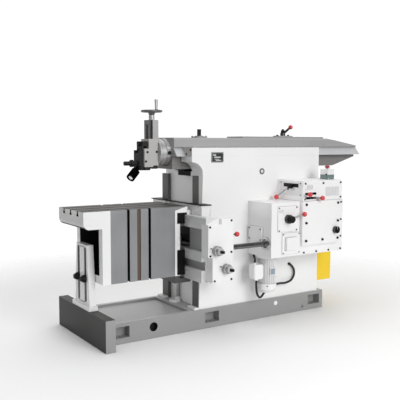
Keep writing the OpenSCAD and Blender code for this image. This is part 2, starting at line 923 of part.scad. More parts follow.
// Screw that shifts the ram over its block, with the small bevel wheel at its front
module ram_screw() {
    z = ram_screw_z;
    color(steel) {
        rod_x([ram_front + base_wall + gap, ram_block_x + ram_block_l * 0.7], ram_screw_d, 0, z);
        translate([position_x + bevel_d / 2, 0, z])
            rotate([0, -90, 0])
                cylinder(d1 = bevel_d, d2 = bevel_d * 0.6, h = bevel_d / 5);
    }
}

// Square-ended shaft on the ram that turns the screw
module position_shaft() {
    z1 = ram_top + box_wall;
    color(steel) {
        rod_z([ram_screw_z + bevel_d / 2 - box_wall, z1], position_d, position_x, 0);
        rod_z([ram_top + gap, ram_top + box_wall], position_d * 2, position_x, 0);
        block([position_x - sq / 2, position_x + sq / 2], [-sq / 2, sq / 2], [z1 - over, z1 + sq_h]);
        translate([position_x, 0, ram_screw_z + bevel_d / 2 - box_wall])
            cylinder(d1 = bevel_d * 0.6, d2 = bevel_d, h = bevel_d / 5);
    }
}

module ram_clamp_lever() {
    z0 = ram_top + strip_h + gap;
    hub_z = z0 + col_wall;
    color(steel) {
        rod_z([ram_in_top - box_wall, z0 + over], clamp_d, clamp_x, 0);
        rod_z([z0, hub_z], clamp_d * 1.6, clamp_x, 0);
        lever([clamp_x, 0, hub_z - lever_d], [clamp_x + clamp_ball[0], 0, ram_top + clamp_ball[1]]);
    }
}

// Block inside the ram with the pin that the rocker arm drives
module ram_block() {
    z = ram_screw_z;
    y = rocker_t / 2 + fork_gap;
    color(dark_iron)
    difference() {
        union() {
            block([ram_block_x - ram_block_l / 2, ram_block_x + ram_block_l / 2],
                [-ram_in_hw + gap, ram_in_hw - gap], [z - base_wall, ram_in_top - box_wall - gap]);
            for (s = [-1, 1])
                block([ram_block_x - ram_pin_d, ram_block_x + ram_pin_d],
                    s > 0 ? [y, ram_in_hw - gap] : [-ram_in_hw + gap, -y],
                    [ram_pin_z - ram_pin_d, z]);
            rod_y([-y - over, y + over], ram_pin_d, ram_block_x, ram_pin_z);
        }
        rod_x([ram_block_x - ram_block_l, ram_block_x + ram_block_l], ram_screw_d + 2 * run, 0, z);
    }
}

// Tool head

module swivel_head() {
    color(grey_paint)
    difference() {
        union() {
            rod_x([disc_x, ring_x - gap], head_d - screw_d / 2, 0, head_z);
            rod_x([ring_x - box_wall, ram_front + base_wall], pivot_d, 0, head_z);
            // upright bar with a dovetail towards the front
            linear_extrude_between(slide_z + lever_d, vbar_top)
                polygon([[disc_x + over, -vbar_hw], [slide_back, -vbar_hw], [slide_back, -dove_in],
                    [bar_face, -dove_out], [bar_face, dove_out], [slide_back, dove_in],
                    [slide_back, vbar_hw], [disc_x + over, vbar_hw]]);
        }
        rod_z([slide_z, vbar_top - col_wall], slide_screw_d + lever_d / 2, slide_axis_x, 0);
        rod_z([slide_z, vbar_top + over], slide_screw_d + 2 * run, slide_axis_x, 0);
        // room for the nut of the tool slide
        block([bar_face - over, slide_axis_x], [-nut_hw - gap, nut_hw + gap],
            [slide_z, vbar_top - col_wall]);
    }
}
module linear_extrude_between(z0, z1) {
    translate([0, 0, z0])
        linear_extrude(z1 - z0)
            children();
}

module tool_slide() {
    upper_x = slide_front + slide_step;
    color(white_paint)
    difference() {
        union() {
            block([upper_x, slide_back - gap], [-slide_hw, slide_hw], [slide_z, slide_top]);
            block([slide_front, upper_x + over], [-slide_hw, slide_hw], [slide_z, apron_step_z + lever_d]);
        }
        // dovetail groove over the upright bar
        linear_extrude_between(slide_z - over, slide_top + over)
            polygon([[slide_back + over, -dove_in - gap], [slide_back, -dove_in - gap],
                [bar_face - gap, -dove_out - gap], [bar_face - gap, dove_out + gap],
                [slide_back, dove_in + gap], [slide_back + over, dove_in + gap]]);
        rod_x([slide_front - over, bar_face], pin_d + 2 * run, 0, head_z - lever_d);
    }
    // nut on the screw
    color("goldenrod")
    difference() {
        block([bar_face - over, slide_axis_x - slide_screw_d * 0.3], [-nut_hw, nut_hw],
            [nut_z, nut_z + 2 * nut_hw]);
        rod_z([nut_z - over, nut_z + 3 * nut_hw], slide_screw_d + 2 * run, slide_axis_x, 0);
    }
}

module slide_screw() {
    color(steel) {
        rod_z([slide_z + base_wall, wheel_z + lever_d], slide_screw_d, slide_axis_x, 0);
        rod_z([vbar_top + gap, vbar_top + base_wall], slide_screw_d * 1.6, slide_axis_x, 0);
    }
}

module handwheel() {
    hub_z = vbar_top + base_wall + gap;
    color(steel)
    translate([slide_axis_x, 0, 0]) {
        difference() {
            union() {
                // rim, hub cone and web
                translate([0, 0, wheel_z])
                    rotate_extrude()
                        translate([wheel_d / 2 - screw_d / 2, 0])
                            circle(d = screw_d);
                translate([0, 0, hub_z])
                    cylinder(d1 = slide_screw_d * 1.4, d2 = slide_screw_d * 2.4, h = wheel_z - hub_z);
                for (a = [0, 120, 240])
                    rotate([0, 0, a])
                        block([0, wheel_d / 2 - screw_d / 2], [-lever_d, lever_d],
                            [wheel_z - lever_d / 2, wheel_z + lever_d / 2]);
            }
            translate([0, 0, hub_z - over])
                cylinder(d = slide_screw_d + 2 * run, h = wheel_d);
        }
        // turning handle
        translate([0, -wheel_d / 2 + screw_d / 2, wheel_z + screw_d / 2 - over])
            cylinder(d1 = screw_d * 1.1, d2 = screw_d * 1.5, h = handle_l);
    }
}

// Apron with the clapper box: it turns on the tool slide
module apron() {
    top_hw = apron_hw - over;
    upper_x = slide_front + slide_step;
    shelf_z = apron_step_z + lever_d;
    low_z = slide_z - base_wall * 0.65;
    plate_top = slide_top - base_wall;
    color(dark_iron)
    difference() {
        union() {
            // upper block, cut away below so that it clears the shelf of the slide
            along_x([clap_back, upper_x - gap])
                polygon([[0, shelf_z + over * 2], [top_hw, shelf_z + top_hw * 0.4],
                    [top_hw, plate_top + screw_d], [-top_hw, plate_top + screw_d],
                    [-top_hw, shelf_z + top_hw * 0.4]]);
            block([clap_back, slide_front - gap], [-apron_hw, apron_hw], [low_z, plate_top]);
            both_sides()
                block([clap_front, slide_front - gap], [cheek_in + gap, apron_hw], [low_z, apron_step_z]);
            rod_x([slide_front - over, slide_front + slide_step / 2], pin_d, 0, head_z - lever_d);
            // lug and pin of the work lamp
            block([lamp_at[0] - 2 * lever_d, clap_front + over], [-apron_hw, -cheek_in - lever_d / 2],
                [lamp_at[2] - lever_d, lamp_at[2] + lever_d]);
            translate(lamp_at)
                rotate([90, 0, lamp_turn])
                    translate([0, 0, -2 * lamp_pin_d])
                        cylinder(d = lamp_pin_d, h = 2 * lamp_pin_d + lever_d);
        }
        rod_y([-apron_hw - over, apron_hw + over], clap_pin_d + 2 * run, pin_x, pin_z);
    }
}
module apron_bolt() {
    color(black)
    rod_x([clap_back - box_wall, clap_back], apron_bolt_d, 0, slide_top - base_wall);
}

// Clapper: it hangs on its pin and lifts the tool on the return stroke
module clapper() {
    color(dark_iron)
    difference() {
        block([clap_front, clap_back - gap], [-cheek_in, cheek_in], [slide_z - box_wall, pin_z + pin_d]);
        rod_y([-apron_hw, apron_hw], clap_pin_d + 2 * run, pin_x, pin_z);
        rod_x([clap_front - over, clap_back], post_d + 2 * run, 0, post_z);
        // round top that clears the apron as it swings
        difference() {
            block([clap_front - over, clap_back], [-apron_hw, apron_hw], [pin_z, pin_z + 2 * pin_d]);
            rod_y([-apron_hw, apron_hw], clap_back - clap_front - gap, pin_x, pin_z);
        }
    }
}
module clapper_pin() {
    color(steel)
    rod_y([-apron_hw, apron_hw], clap_pin_d, pin_x, pin_z);
}

// Tool post with its slot and its clamp screw
module tool_post() {
    front = post_collar_x - box_wall;
    color(dark_iron)
    difference() {
        union() {
            rod_x([clap_front + gap, clap_back - lever_d], post_d, 0, post_z);
            rod_x([post_collar_x, clap_front + gap + over], post_d * 0.85, 0, post_z);
            rod_x([front, post_collar_x + over], post_collar_d, 0, post_z);
        }
        block([post_collar_x + lever_d / 2, clap_front - over], [-lever_d, lever_d],
            [post_z - post_d, post_z + post_d]);
        rod_x([front - over, post_collar_x + lever_d], post_screw_d + 2 * run, 0, post_z);
    }
    color(steel) {
        rod_x([post_x, post_collar_x + lever_d], post_screw_d, 0, post_z);
        rod_x([post_x, front - gap], post_screw_d * 1.4, 0, post_z);
    }
}

module work_lamp() {
    color(black)
    translate(lamp_at)
        rotate([0, lamp_tilt, lamp_turn])
            difference() {
                union() {
                    rotate([90, 0, 0])
                        cylinder(d = 2 * lamp_pin_d, h = 2 * lever_d, center = true);
                    translate([0, 0, -lamp_stem - lever_d])
                        cylinder(d = lamp_stem_d, h = lamp_stem + lever_d);
                    translate([0, 0, -lamp_stem - lamp_l])
                        cylinder(d = lamp_d, h = lamp_l);
                }
                translate([0, 0, -lamp_stem - lamp_l - over])
                    cylinder(d = lamp_d * 0.74, h = lamp_stem);
                rotate([90, 0, 0])
                    cylinder(d = lamp_pin_d + 2 * run, h = lamp_d, center = true);
            }
}

// Cross rail

module rail_outline() {
    polygon([[slide_face + over, rail_z], [rail_x + base_wall + hook_w, rail_z],
        [rail_x + base_wall + hook_w, rail_z + hook_d], [rail_x + base_wall, rail_z + hook_d],
        [rail_x + base_wall, rail_z], [rail_x, rail_z], [rail_x, rail_gap_z0], [web_front, rail_gap_z0],
        [web_front, rail_gap_z1], [rail_x, rail_gap_z1], [rail_x, rail_low_top], [web_front, rail_low_top],
        [web_front, rail_guide_top - guide_h],
        [rail_x, rail_guide_top - guide_h], [rail_x, rail_guide_top], [rail_x + base_wall, rail_guide_top],
        [rail_x + base_wall, rail_guide_top - hook_d], [rail_x + base_wall + hook_w, rail_guide_top - hook_d],
        [rail_x + base_wall + hook_w, rail_guide_top], [slide_face + over, rail_guide_top]]);
}
module cross_rail() {
    color(grey_paint)
    difference() {
        union() {
            along_y([-rail_hw, rail_hw])
                rail_outline();
            // upper guide runs on over the end box
            block([rail_x, guide_end_x], [end_y + cover_t, -rail_hw + over], [end_step_z, rail_guide_top]);
            // slide round the column ways
            block([slide_face, way_x - gap], [-rail_slide_hw, rail_slide_hw], [rail_z, rail_top]);
            both_sides()
                block([way_x - gap - over, col_front + lever_d], [col_hw + gap, rail_slide_hw],
                    [rail_z, rail_top]);
            // nut of the elevating screw
            block([way_x - lever_d, col_front - gap * 10], [lift_y - lift_d * 1.2, lift_y + lift_d * 1.2],
                [rail_z, rail_z + lift_nut_h]);
        }
        // hollow for the elevating screw and the keepers
        block([slide_face - lever_d, way_x + over], [-way_in + lever_d * 2, way_in - lever_d * 2],
            [rail_z + lift_nut_h, rail_top + over]);
        rod_z([rail_z - over, rail_top], lift_d + 2 * run, lift_x, lift_y);
        // window in the web
        block([rail_x, way_x + over], [-window_hw, window_hw],
            [rail_low_top + over * 2, rail_guide_top - guide_h - lever_d]);
        // bearing of the cross screw
        rod_y([-rail_hw - over, rail_hw + over], cross_d + 2 * run, cross_x, cross_z);
    }
}

// Strips that hold the rail slide to the ways
module rail_keepers() {
    x0 = way_x - gap;
    color(steel)
    both_sides() {
        block([x0, col_front - gap * 2], [way_in - lever_d * 2, way_in - gap],
            [rail_z + lever_d, rail_top - lever_d]);
        block([way_x + way_undercut + gap, col_front - gap * 2],
            [way_in - lever_d * 2, way_in + way_undercut - gap], [rail_z + lever_d, rail_top - lever_d]);
    }
}

// Gear box at the near end of the rail
module rail_end_box() {
    color(white_paint)
    difference() {
        along_y([end_y, -rail_hw])
            polygon([[end_step_x, end_low_z], [end_rear, end_low_z], [end_rear, end_top_z],
                [guide_end_x + gap, end_top_z], [guide_end_x + gap, end_step_z], [rail_x, end_step_z],
                [rail_x, end_shelf_z], [end_step_x, end_shelf_z]]);
        block([end_step_x + box_wall, end_rear - box_wall], [end_y + box_wall, -rail_hw + over],
            [end_low_z + box_wall, end_step_z - box_wall]);
        for (p = [[cross_x, cross_z], [lift_dial_x, lift_dial_z]])
            rod_y([end_y - over, end_y + box_wall + over], cross_d + 2 * run, p[0], p[1]);
        // mouth of the feed shaft
        rod_x([end_rear - box_wall - over, end_rear + over], bar_joint_d, shaft_y, shaft_z);
        // slot of the reversing lever
        block([end_rear - box_wall - over, end_rear + over], [lever_y - lever_d, lever_y + lever_d],
            [lever_z - base_wall, lever_z + base_wall]);
    }
}

// Dial on a stub shaft with a conical hub and a square end
module dial(x, z, rear) {
    rod_y([end_y - lever_d - gap, rear], cross_d, x, z);
    rod_y([end_y - base_wall, end_y - gap], dial_d, x, z);
    cone_y([end_y - base_wall * 1.7, end_y - base_wall], cross_d, dial_d * 0.86, x, z);
    block([x - sq * 0.4, x + sq * 0.4], [end_y - base_wall * 2.6, end_y - base_wall * 1.7 + over],
        [z - sq * 0.4, z + sq * 0.4]);
}
module cross_screw() {
    color(steel)
    dial(cross_x, cross_z, rail_slide_hw + col_wall);
}
module lift_dial() {
    color(steel)
    dial(lift_dial_x, lift_dial_z, end_y + 3 * box_wall);
}

module rail_lever() {
    color(red) {
        rod_y([end_y + box_wall, lever_y + box_wall], 2 * lever_d, end_rear - 2 * box_wall, lever_z);
        lever([end_rear - 2 * box_wall, lever_y, lever_z], [end_rear + rail_ball, lever_y, lever_z - over]);
    }
}

// Plate that wipes the ways above the rail slide
module rail_wiper() {
    x1 = col_front + lever_d;
    color(black)
    difference() {
        block([slide_face - lever_d, x1], [-rail_slide_hw - lever_d, rail_slide_hw + lever_d],
            [rail_top, rail_top + lever_d * 0.6]);
        block([slide_face + lever_d, way_x + over], [-way_in + lever_d, way_in - lever_d],
            [rail_top - over, rail_top + lever_d]);
        block([way_x - gap, x1 + over], [-col_hw - gap, col_hw + gap], [rail_top - over, rail_top + lever_d]);
    }
}

// Table

module saddle() {
    color(white_paint)
    difference() {
        union() {
            along_y([-table_hw, table_hw])
                polygon([[box_rear, table_z], [box_rear, rail_guide_top + arm_t + gap],
                [rail_x + base_wall + hook_w - gap, rail_guide_top + arm_t + gap],
                [rail_x + base_wall + hook_w - gap, rail_guide_top - hook_d + gap * 2],
                [rail_x + base_wall + gap, rail_guide_top - hook_d + gap * 2],
                [rail_x + base_wall + gap, rail_guide_top + gap],
                [saddle_in, rail_guide_top + gap], [saddle_in, rail_z - gap],
                [rail_x + base_wall + gap, rail_z - gap],
                [rail_x + base_wall + gap, rail_z + hook_d - gap * 2],
                [rail_x + base_wall + hook_w - gap, rail_z + hook_d - gap * 2],
                [rail_x + base_wall + hook_w - gap, rail_z - arm_t],
                [box_rear, rail_z - arm_t]]);
            // nut of the cross screw, through the window of the rail
            block([saddle_in - over, way_x - lever_d * 0.4], [-col_wall, col_wall], cross_nut_z);
        }
        rod_y([-table_hw, table_hw], cross_d + 2 * run, cross_x, cross_z);
        // the T-slots of the table run on through its top
        top_slots();
    }
}
// Dark bearing strips between the saddle and the two guides
module saddle_gibs() {
    color(dark_iron)
    for (z = [[rail_z + lever_d, rail_low_top], [rail_guide_top - guide_h, rail_guide_top]])
        block([saddle_in, rail_x - gap], [-table_hw + lever_d, table_hw - lever_d], z);
}

module top_slots() {
    for (i = [-1 : 1])
        along_x([table_front - over, rail_x + base_wall + hook_w + over])
            translate([i * slot_pitch, table_top])
                t_slot_outline();
}
module table() {
    color(steel)
    difference() {
        union() {
            block([box_front, box_rear], [-table_hw, table_hw], [table_z, table_top]);
            block([box_rear - over, top_rear], [-table_hw, table_hw],
                [rail_guide_top + arm_t + gap, table_top]);
            // overhanging lip, rounded at its lower front corner
            along_y([-table_hw, table_hw]) {
                polygon([[table_front, table_top], [table_front, lip_z + lip_r], [table_front + lip_r, lip_z],
                    [box_front + over, lip_z], [box_front + over, table_top]]);
                translate([table_front + lip_r, lip_z + lip_r])
                    circle(r = lip_r);
            }
        }
        // hollow, open to the front
        block([box_front - over, box_rear - table_wall], [-table_hw + table_wall, table_hw - table_wall],
            [table_z + table_wall, table_top - top_t]);
        top_slots();
        // T-slots and the locating groove down both sides
        both_sides() {
            for (x = side_slots)
                translate([0, 0, table_z - over])
                    linear_extrude(table_top - table_z + 2 * over)
                        translate([x, table_hw])
                            t_slot_outline();
            block([side_groove - slot_w * 0.7, side_groove + slot_w * 0.7],
                [table_hw - slot_w / 3, table_hw + over], [table_z - over, table_top + over]);
        }
        // tapped holes of the support bolts
        for (s = [-1, 1])
            rod_x([box_front - over, box_front + table_wall], screw_d, support_y + s * support_slot_y,
                support_bolt_z);
    }
}

// Stand under the front of the table: it slides on the bar
module table_support() {
    color(white_paint)
    difference() {
        union() {
            block([foot_x0, base_in - gap], [support_y - foot_hw, support_y + foot_hw],
                [bar_h, bar_h + foot_h]);
            along_x([support_x0, box_front - lever_d / 2])
                polygon([[support_y - support_hw - base_wall, bar_h + foot_h - over],
                    [support_y - support_hw, support_top], [support_y + support_hw, support_top],
                    [support_y + support_hw + base_wall, bar_h + foot_h - over]]);
        }
        for (s = [-1, 1])
            along_x([support_x0 - over, box_front])
                translate([support_y + s * support_slot_y, bar_h + foot_h + box_wall])
                    slot_outline(support_slot_w, support_top - bar_h - foot_h - 2 * box_wall);
    }
}
module support_bolts() {
    color(black)
    for (s = [-1, 1]) {
        y = support_y + s * support_slot_y;
        rod_x([support_x0 - gap - over, box_front + table_wall], screw_d, y, support_bolt_z);
        rod_x([support_x0 - gap - lever_d, support_x0 - gap], screw_d * 3, y, support_bolt_z);
        rod_x([support_x0 - lever_d * 3, support_x0 - lever_d], screw_d * 2, y, support_bolt_z);
    }
}

// Telescopic feed shaft

module feed_tube() {
    color(dark_iron)
    difference() {
        union() {
            rod_x([tube_end, feed_x], shaft_d, shaft_y, shaft_z);
            translate([feed_x, shaft_y, shaft_z])
                sphere(d = joint_d - 2 * gap);
        }
        rod_x([tube_end - over, feed_x - base_wall], tube_bore, shaft_y, shaft_z);
        // hole of the cross pin
        rod_y([shaft_y - joint_d, shaft_y + joint_d], lever_d, feed_x, shaft_z);
    }
}
module feed_bar() {
    x0 = end_rear - box_wall / 2;
    collar = end_rear + lever_d * 1.2;
    color(steel)
    difference() {
        translate([x0, shaft_y, shaft_z])
            rotate([0, 90, 0])
                rotate_extrude()
                    union() {
                        intersection() {
                            circle(d = bar_joint_d - 2 * gap);
                            translate([0, -bar_joint_d])
                                square([bar_joint_d, 2 * bar_joint_d]);
                        }
                        square([feed_bar_d / 2, bar_end - x0]);
                        translate([0, collar - x0])
                            square([shaft_d / 2, tube_end - over * 2 - collar]);
                    }
        // hole of the cross pin
        rod_y([shaft_y - bar_joint_d, shaft_y + bar_joint_d], lever_d * 0.8, x0, shaft_z);
    }
}

// Controls

module feed_lever() {
    color(black) {
        rod_y([feed_y - cover_t, feed_y + 2 * box_wall], shaft_bush_d, dial_c[0], dial_c[1]);
        rod_y([feed_y - cover_t, feed_y - lever_d / 2 - gap], knob_d, dial_c[0], dial_c[1]);
        lever([dial_c[0], feed_y - cover_t * 0.6, dial_c[1]],
            [dial_c[0] + feed_ball[0], feed_y - cover_t * 2, dial_c[1] + feed_ball[1]]);
    }
}
module selector_knob() {
    color(black) {
        rod_y([feed_y - cover_t - lever_d, feed_y + 2 * box_wall], shaft_bush_d, knob_c[0], knob_c[1]);
        rod_y([feed_y - 2 * cover_t, feed_y - cover_t - gap], knob_d * 0.8, knob_c[0], knob_c[1]);
    }
}
module gear_lever() {
    x0 = ctrl_x - box_wall;
    color(red) {
        rod_x([x0 - lever_d, ctrl_x + 3 * box_wall], shaft_bush_d, gate_y, gate_z);
        rod_x([x0 - lever_d, ctrl_x - gap], 2 * shaft_bush_d, gate_y, gate_z);
        lever([x0, gate_y, gate_z], [ctrl_x + gear_ball[0], gate_y + gear_ball[1], gate_z + gear_ball[2]]);
    }
}
module speed_lever(z, lean) {
    y = ctrl_y + 4 * box_wall;
    color(red) {
        difference() {
            union() {
                rod_z([z - lever_d * 0.6, z + lever_d * 0.6], 3 * lever_d, speed_x, y);
                lever([speed_x, y, z], [speed_x + lean, ctrl_y - base_wall * 1.4, z]);
            }
            rod_z([z - lever_d, z + lever_d], spindle_d + 2 * run, speed_x, y);
        }
    }
}
module upper_speed_lever() {
    speed_lever(speed_z[0], speed_lean[0]);
}
module lower_speed_lever() {
    speed_lever(speed_z[1], speed_lean[1]);
}

// Drive inside the column

module bull_gear() {
    color(steel)
    difference() {
        union() {
            along_y([bull_y0, bull_y0 + bull_w])
                translate([bull_x, bull_z])
                    gear_outline(bull_teeth, mod_b);
            rod_y([bull_y0 + bull_w - over, col_hw], bull_hub_d, bull_x, bull_z);
            // crank pin, short of the block in the rocker arm
            rod_y([rocker_t / 2 + fork_gap / 2, bull_y0 + over], ram_pin_d,
                bull_x + crank_r * sin(crank_a), bull_z + crank_r * cos(crank_a));
        }
        // ring turned out of the web, to save weight
        difference() {
            rod_y([bull_y0 + bull_w / 2, bull_y0 + bull_w + over], mod_b * bull_teeth * 0.84, bull_x, bull_z);
            rod_y([0, col_hw], bull_hub_d, bull_x, bull_z);
        }
    }
}

module rocker_arm() {
    tip = rocker_l + col_wall;
    color(dark_iron)
    translate([rocker_x, 0, rocker_z])
        rotate([0, rocker_lean, 0])
            difference() {
                union() {
                    along_y([-rocker_t / 2, rocker_t / 2])
                        union() {
                            circle(d = rocker_w);
                            translate([-rocker_w / 2, 0])
                                square([rocker_w, tip]);
                        }
                    rod_y([-col_in_y + gap, col_in_y - gap], rocker_w * 0.8, 0, 0);
                    rod_y([-col_hw, col_hw], rocker_pin_d, 0, 0);
                }
                // slot of the sliding block
                block([-rocker_slot / 2, rocker_slot / 2], [-rocker_t, rocker_t],
                    [crank_d - crank_r * 1.3, crank_d + crank_r * 1.3]);
                // fork over the ram pin
                block([-ram_pin_d / 2 - fork_gap, ram_pin_d / 2 + fork_gap], [-rocker_t, rocker_t],
                    [rocker_l - ram_pin_d * 1.6, tip + over]);
            }
}
module slide_block() {
    reach = crank_d * cos(rocker_lean) + crank_r * cos(crank_a - rocker_lean);
    color("goldenrod")
    translate([rocker_x, 0, rocker_z])
        rotate([0, rocker_lean, 0])
            difference() {
                block([-rocker_slot / 2, rocker_slot / 2], [-rocker_t / 2, rocker_t / 2],
                    [reach - rocker_slot / 2, reach + rocker_slot / 2]);
                rod_y([-rocker_t, rocker_t], ram_pin_d + 2 * run, 0, reach);
            }
}
module back_gear() {
    color(steel)
    union() {
        rod_y([-col_hw, col_hw], shaft_core, back_x, back_z);
        along_y([back_y, back_y + back_w])
            translate([back_x, back_z])
                gear_outline(back_teeth, mod_a);
        along_y([bull_y0, bull_y0 + bull_w])
            translate([back_x, back_z])
                rotate(bull_mesh)
                    gear_outline(bull_pinion, mod_b);
    }
}
// Turn that puts a gap of one gear opposite a tooth of the other
function mesh_turn(angle, teeth_from, teeth_to) =
    angle + 180 + (angle * teeth_from / teeth_to) + 180 / teeth_to;
bull_mesh = mesh_turn(back_angle, bull_teeth, bull_pinion);
input_mesh = mesh_turn(input_angle, back_teeth, back_pinion);
module input_shaft() {
    color(steel)
    union() {
        rod_y([-col_hw, col_hw], shaft_core, input_x, input_z);
        along_y([back_y, back_y + back_w])
            translate([input_x, input_z])
                rotate(input_mesh)
                    gear_outline(back_pinion, mod_a);
        pulley(input_x, input_z, pulley_d);
    }
}
module pulley(x, z, d) {
    difference() {
        rod_y([pulley_y, pulley_y + pulley_w], d, x, z);
        for (y = belt_rows)
            difference() {
                rod_y([y - belt_t * 0.6, y + belt_t * 0.6], d + over, x, z);
                rod_y([y - belt_t, y + belt_t], d - 2 * belt_t - 2 * gap, x, z);
            }
    }
}
belt_rows = [for (i = [0 : 2]) pulley_y + pulley_w / 2 + (i - 1) * belt_t * 1.6];
module motor_pulley() {
    color(steel)
    union() {
        pulley(motor_x, motor_z, motor_pulley_d);
        rod_y([pulley_y + pulley_w - over, -motor_w / 2 + box_wall], shaft_core, motor_x, motor_z);
    }
}

// Outline of a belt round two pulleys, by its distance from their rims
belt_steps = 30;
module belt_loop(grow) {
    v = [motor_x - input_x, motor_z - input_z];
    r0 = pulley_d / 2 + grow;
    r1 = motor_pulley_d / 2 + grow;
    a = atan2(v[1], v[0]);
    b = acos((r0 - r1) / norm(v));
    p0 = [input_x, input_z];
    p1 = [motor_x, motor_z];
    polygon(concat(
        [for (i = [0 : belt_steps]) let (t = a + b + (360 - 2 * b) * i / belt_steps)
            p0 + r0 * [cos(t), sin(t)]],
        [for (i = [0 : belt_steps]) let (t = a - b + 2 * b * i / belt_steps)
            p1 + r1 * [cos(t), sin(t)]]));
}
module drive_belts() {
    color(black)
    for (y = belt_rows)
        along_y([y - belt_t / 2, y + belt_t / 2])
            difference() {
                belt_loop(gap * 4);
                belt_loop(-belt_t);
            }
}

base();
column();
ram_guides();
frame_screws();
belt_guard();
main_motor();
feed_box();
feed_cover();
feed_plates();
control_box();
stop_box();
feed_motor();
fan_cowl();
terminal_box();
motor_cable();
shaft_flange();
lift_boss();
lift_screw();
ram();
ram_screw();
position_shaft();
ram_clamp_lever();
ram_block();
swivel_head();
tool_slide();
slide_screw();
handwheel();
apron();
apron_bolt();
clapper();
clapper_pin();
tool_post();
work_lamp();
cross_rail();
rail_keepers();
rail_end_box();
cross_screw();
lift_dial();
rail_lever();
rail_wiper();
saddle();
saddle_gibs();
table();
table_support();
support_bolts();
feed_tube();
feed_bar();
feed_lever();
selector_knob();
gear_lever();
upper_speed_lever();
lower_speed_lever();
stop_button();
bull_gear();
rocker_arm();
slide_block();
back_gear();
input_shaft();
motor_pulley();
drive_belts();
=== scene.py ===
# %% [markdown]
# # A metal shaper, dressed for a portrait
# A shaper cuts metal with a tool on a sliding ram.  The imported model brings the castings,
# slides and levers as one fixed frame, so this lesson never moves or edits them.  It gives
# every surface its finish, adds the small pieces that a plain solid lacks, and sets the
# light and the camera of the photograph.  All sizes and places are in metres.

# %% Load the frame
import math

import bmesh
import bpy
from mathutils import Matrix, Vector


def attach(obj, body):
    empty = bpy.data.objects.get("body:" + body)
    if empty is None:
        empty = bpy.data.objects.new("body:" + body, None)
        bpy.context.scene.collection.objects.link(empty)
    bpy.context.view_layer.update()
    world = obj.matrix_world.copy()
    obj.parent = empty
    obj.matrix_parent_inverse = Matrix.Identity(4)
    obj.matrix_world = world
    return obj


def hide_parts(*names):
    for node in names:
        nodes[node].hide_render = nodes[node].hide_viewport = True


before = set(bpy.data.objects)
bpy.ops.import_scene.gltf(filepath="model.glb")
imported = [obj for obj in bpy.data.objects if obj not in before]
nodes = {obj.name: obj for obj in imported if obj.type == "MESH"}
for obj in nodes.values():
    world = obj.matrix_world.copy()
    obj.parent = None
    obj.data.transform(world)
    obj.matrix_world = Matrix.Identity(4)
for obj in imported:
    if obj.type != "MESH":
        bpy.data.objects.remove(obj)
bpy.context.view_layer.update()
scene = bpy.context.scene

# %% [markdown]
# ## Camera
# The camera stands at the operator's front corner, a little above the table.  Its place was
# worked out from straight edges of the machine, such as the base rail and the ram, so its
# lens and height follow from the way that those edges run together.

# %% Place the camera
CAMERA_AT = Vector((-2.5064, -3.7498, 1.2362))
CAMERA_TURN = (math.radians(84.88), math.radians(-0.10), math.radians(-33.17))
LENS_MM = 58.1
SENSOR_MM = 36.0

camera = bpy.data.objects.new("camera", bpy.data.cameras.new("camera"))
scene.collection.objects.link(camera)
camera.location = CAMERA_AT
camera.rotation_euler = CAMERA_TURN
camera.data.lens = LENS_MM
camera.data.sensor_width = SENSOR_MM
camera.data.clip_end = 100
scene.camera = camera
print("camera", tuple(round(v, 3) for v in camera.location), "lens", LENS_MM)

# %% [markdown]
# ## Finishes that several materials share
# Enamel on a casting is never quite even: it has an orange-peel skin, cloudy patches and a
# little dust in the roughness.  Planed and turned iron shows fine lines along the cut.
# Handled edges lose paint.  Each effect is one shader group with named sockets, so that a
# change in one place reaches every material that uses it.

# %% Group helpers
SOCKETS = {
    "f": "NodeSocketFloat",
    "c": "NodeSocketColor",
    "v": "NodeSocketVector",
}


def new_group(name, inputs, outputs):
    """A shader group with (socket name, kind, default) inputs and (name, kind) outputs."""
    group = bpy.data.node_groups.new(name, "ShaderNodeTree")
    for label, kind, value in inputs:
        socket = group.interface.new_socket(label, in_out="INPUT", socket_type=SOCKETS[kind])
        socket.default_value = value
    for label, kind in outputs:
        group.interface.new_socket(label, in_out="OUTPUT", socket_type=SOCKETS[kind])
    return group, group.nodes.new("NodeGroupInput"), group.nodes.new("NodeGroupOutput")


def feed(tree, node, sources):
    """Links sources to the inputs of a node, by name or number."""
    for key, source in sources.items():
        tree.links.new(source, node.inputs[key])


def add(tree, kind, links=None, **values):
    """A node with its attributes or socket values set, and its inputs linked."""
    node = tree.nodes.new(kind)
    for key, value in values.items():
        if hasattr(node, key):
            setattr(node, key, value)
        else:
            node.inputs[key].default_value = value
    feed(tree, node, links or {})
    return node


def maths(tree, operation, a, b):
    """A maths node on sockets or numbers."""
    node = tree.nodes.new("ShaderNodeMath")
    node.operation = operation
    for i, value in enumerate((a, b)):
        if isinstance(value, (int, float)):
            node.inputs[i].default_value = value
        else:
            tree.links.new(value, node.inputs[i])
    return node.outputs[0]


def blend_colour(tree, mode, factor, a, b):
    """A colour mix of a and b, which are sockets or colours."""
    node = tree.nodes.new("ShaderNodeMix")
    node.data_type = "RGBA"
    node.blend_type = mode
    for key, value in ((0, factor), (6, a), (7, b)):
        if isinstance(value, bpy.types.NodeSocket):
            tree.links.new(value, node.inputs[key])
        else:
            node.inputs[key].default_value = value
    return node.outputs[2]


def shaded(tree, colour, shade):
    """A colour made lighter or darker by a value."""
    level = add(tree, "ShaderNodeCombineColor", {"Red": shade, "Green": shade, "Blue": shade})
    return blend_colour(tree, "MULTIPLY", 1.0, colour, level.outputs[0])


def smooth_step(tree, value, low, high, start, end):
    """A value that goes smoothly from start at low to end at high."""
    node = add(tree, "ShaderNodeMapRange", {"Value": value}, interpolation_type="SMOOTHSTEP")
    for key, number in (("From Min", low), ("From Max", high), ("To Min", start), ("To Max", end)):
        node.inputs[key].default_value = number
    return node.outputs["Result"]


MIDDLE = 0.5
print("helpers ready, noise swings about", MIDDLE)

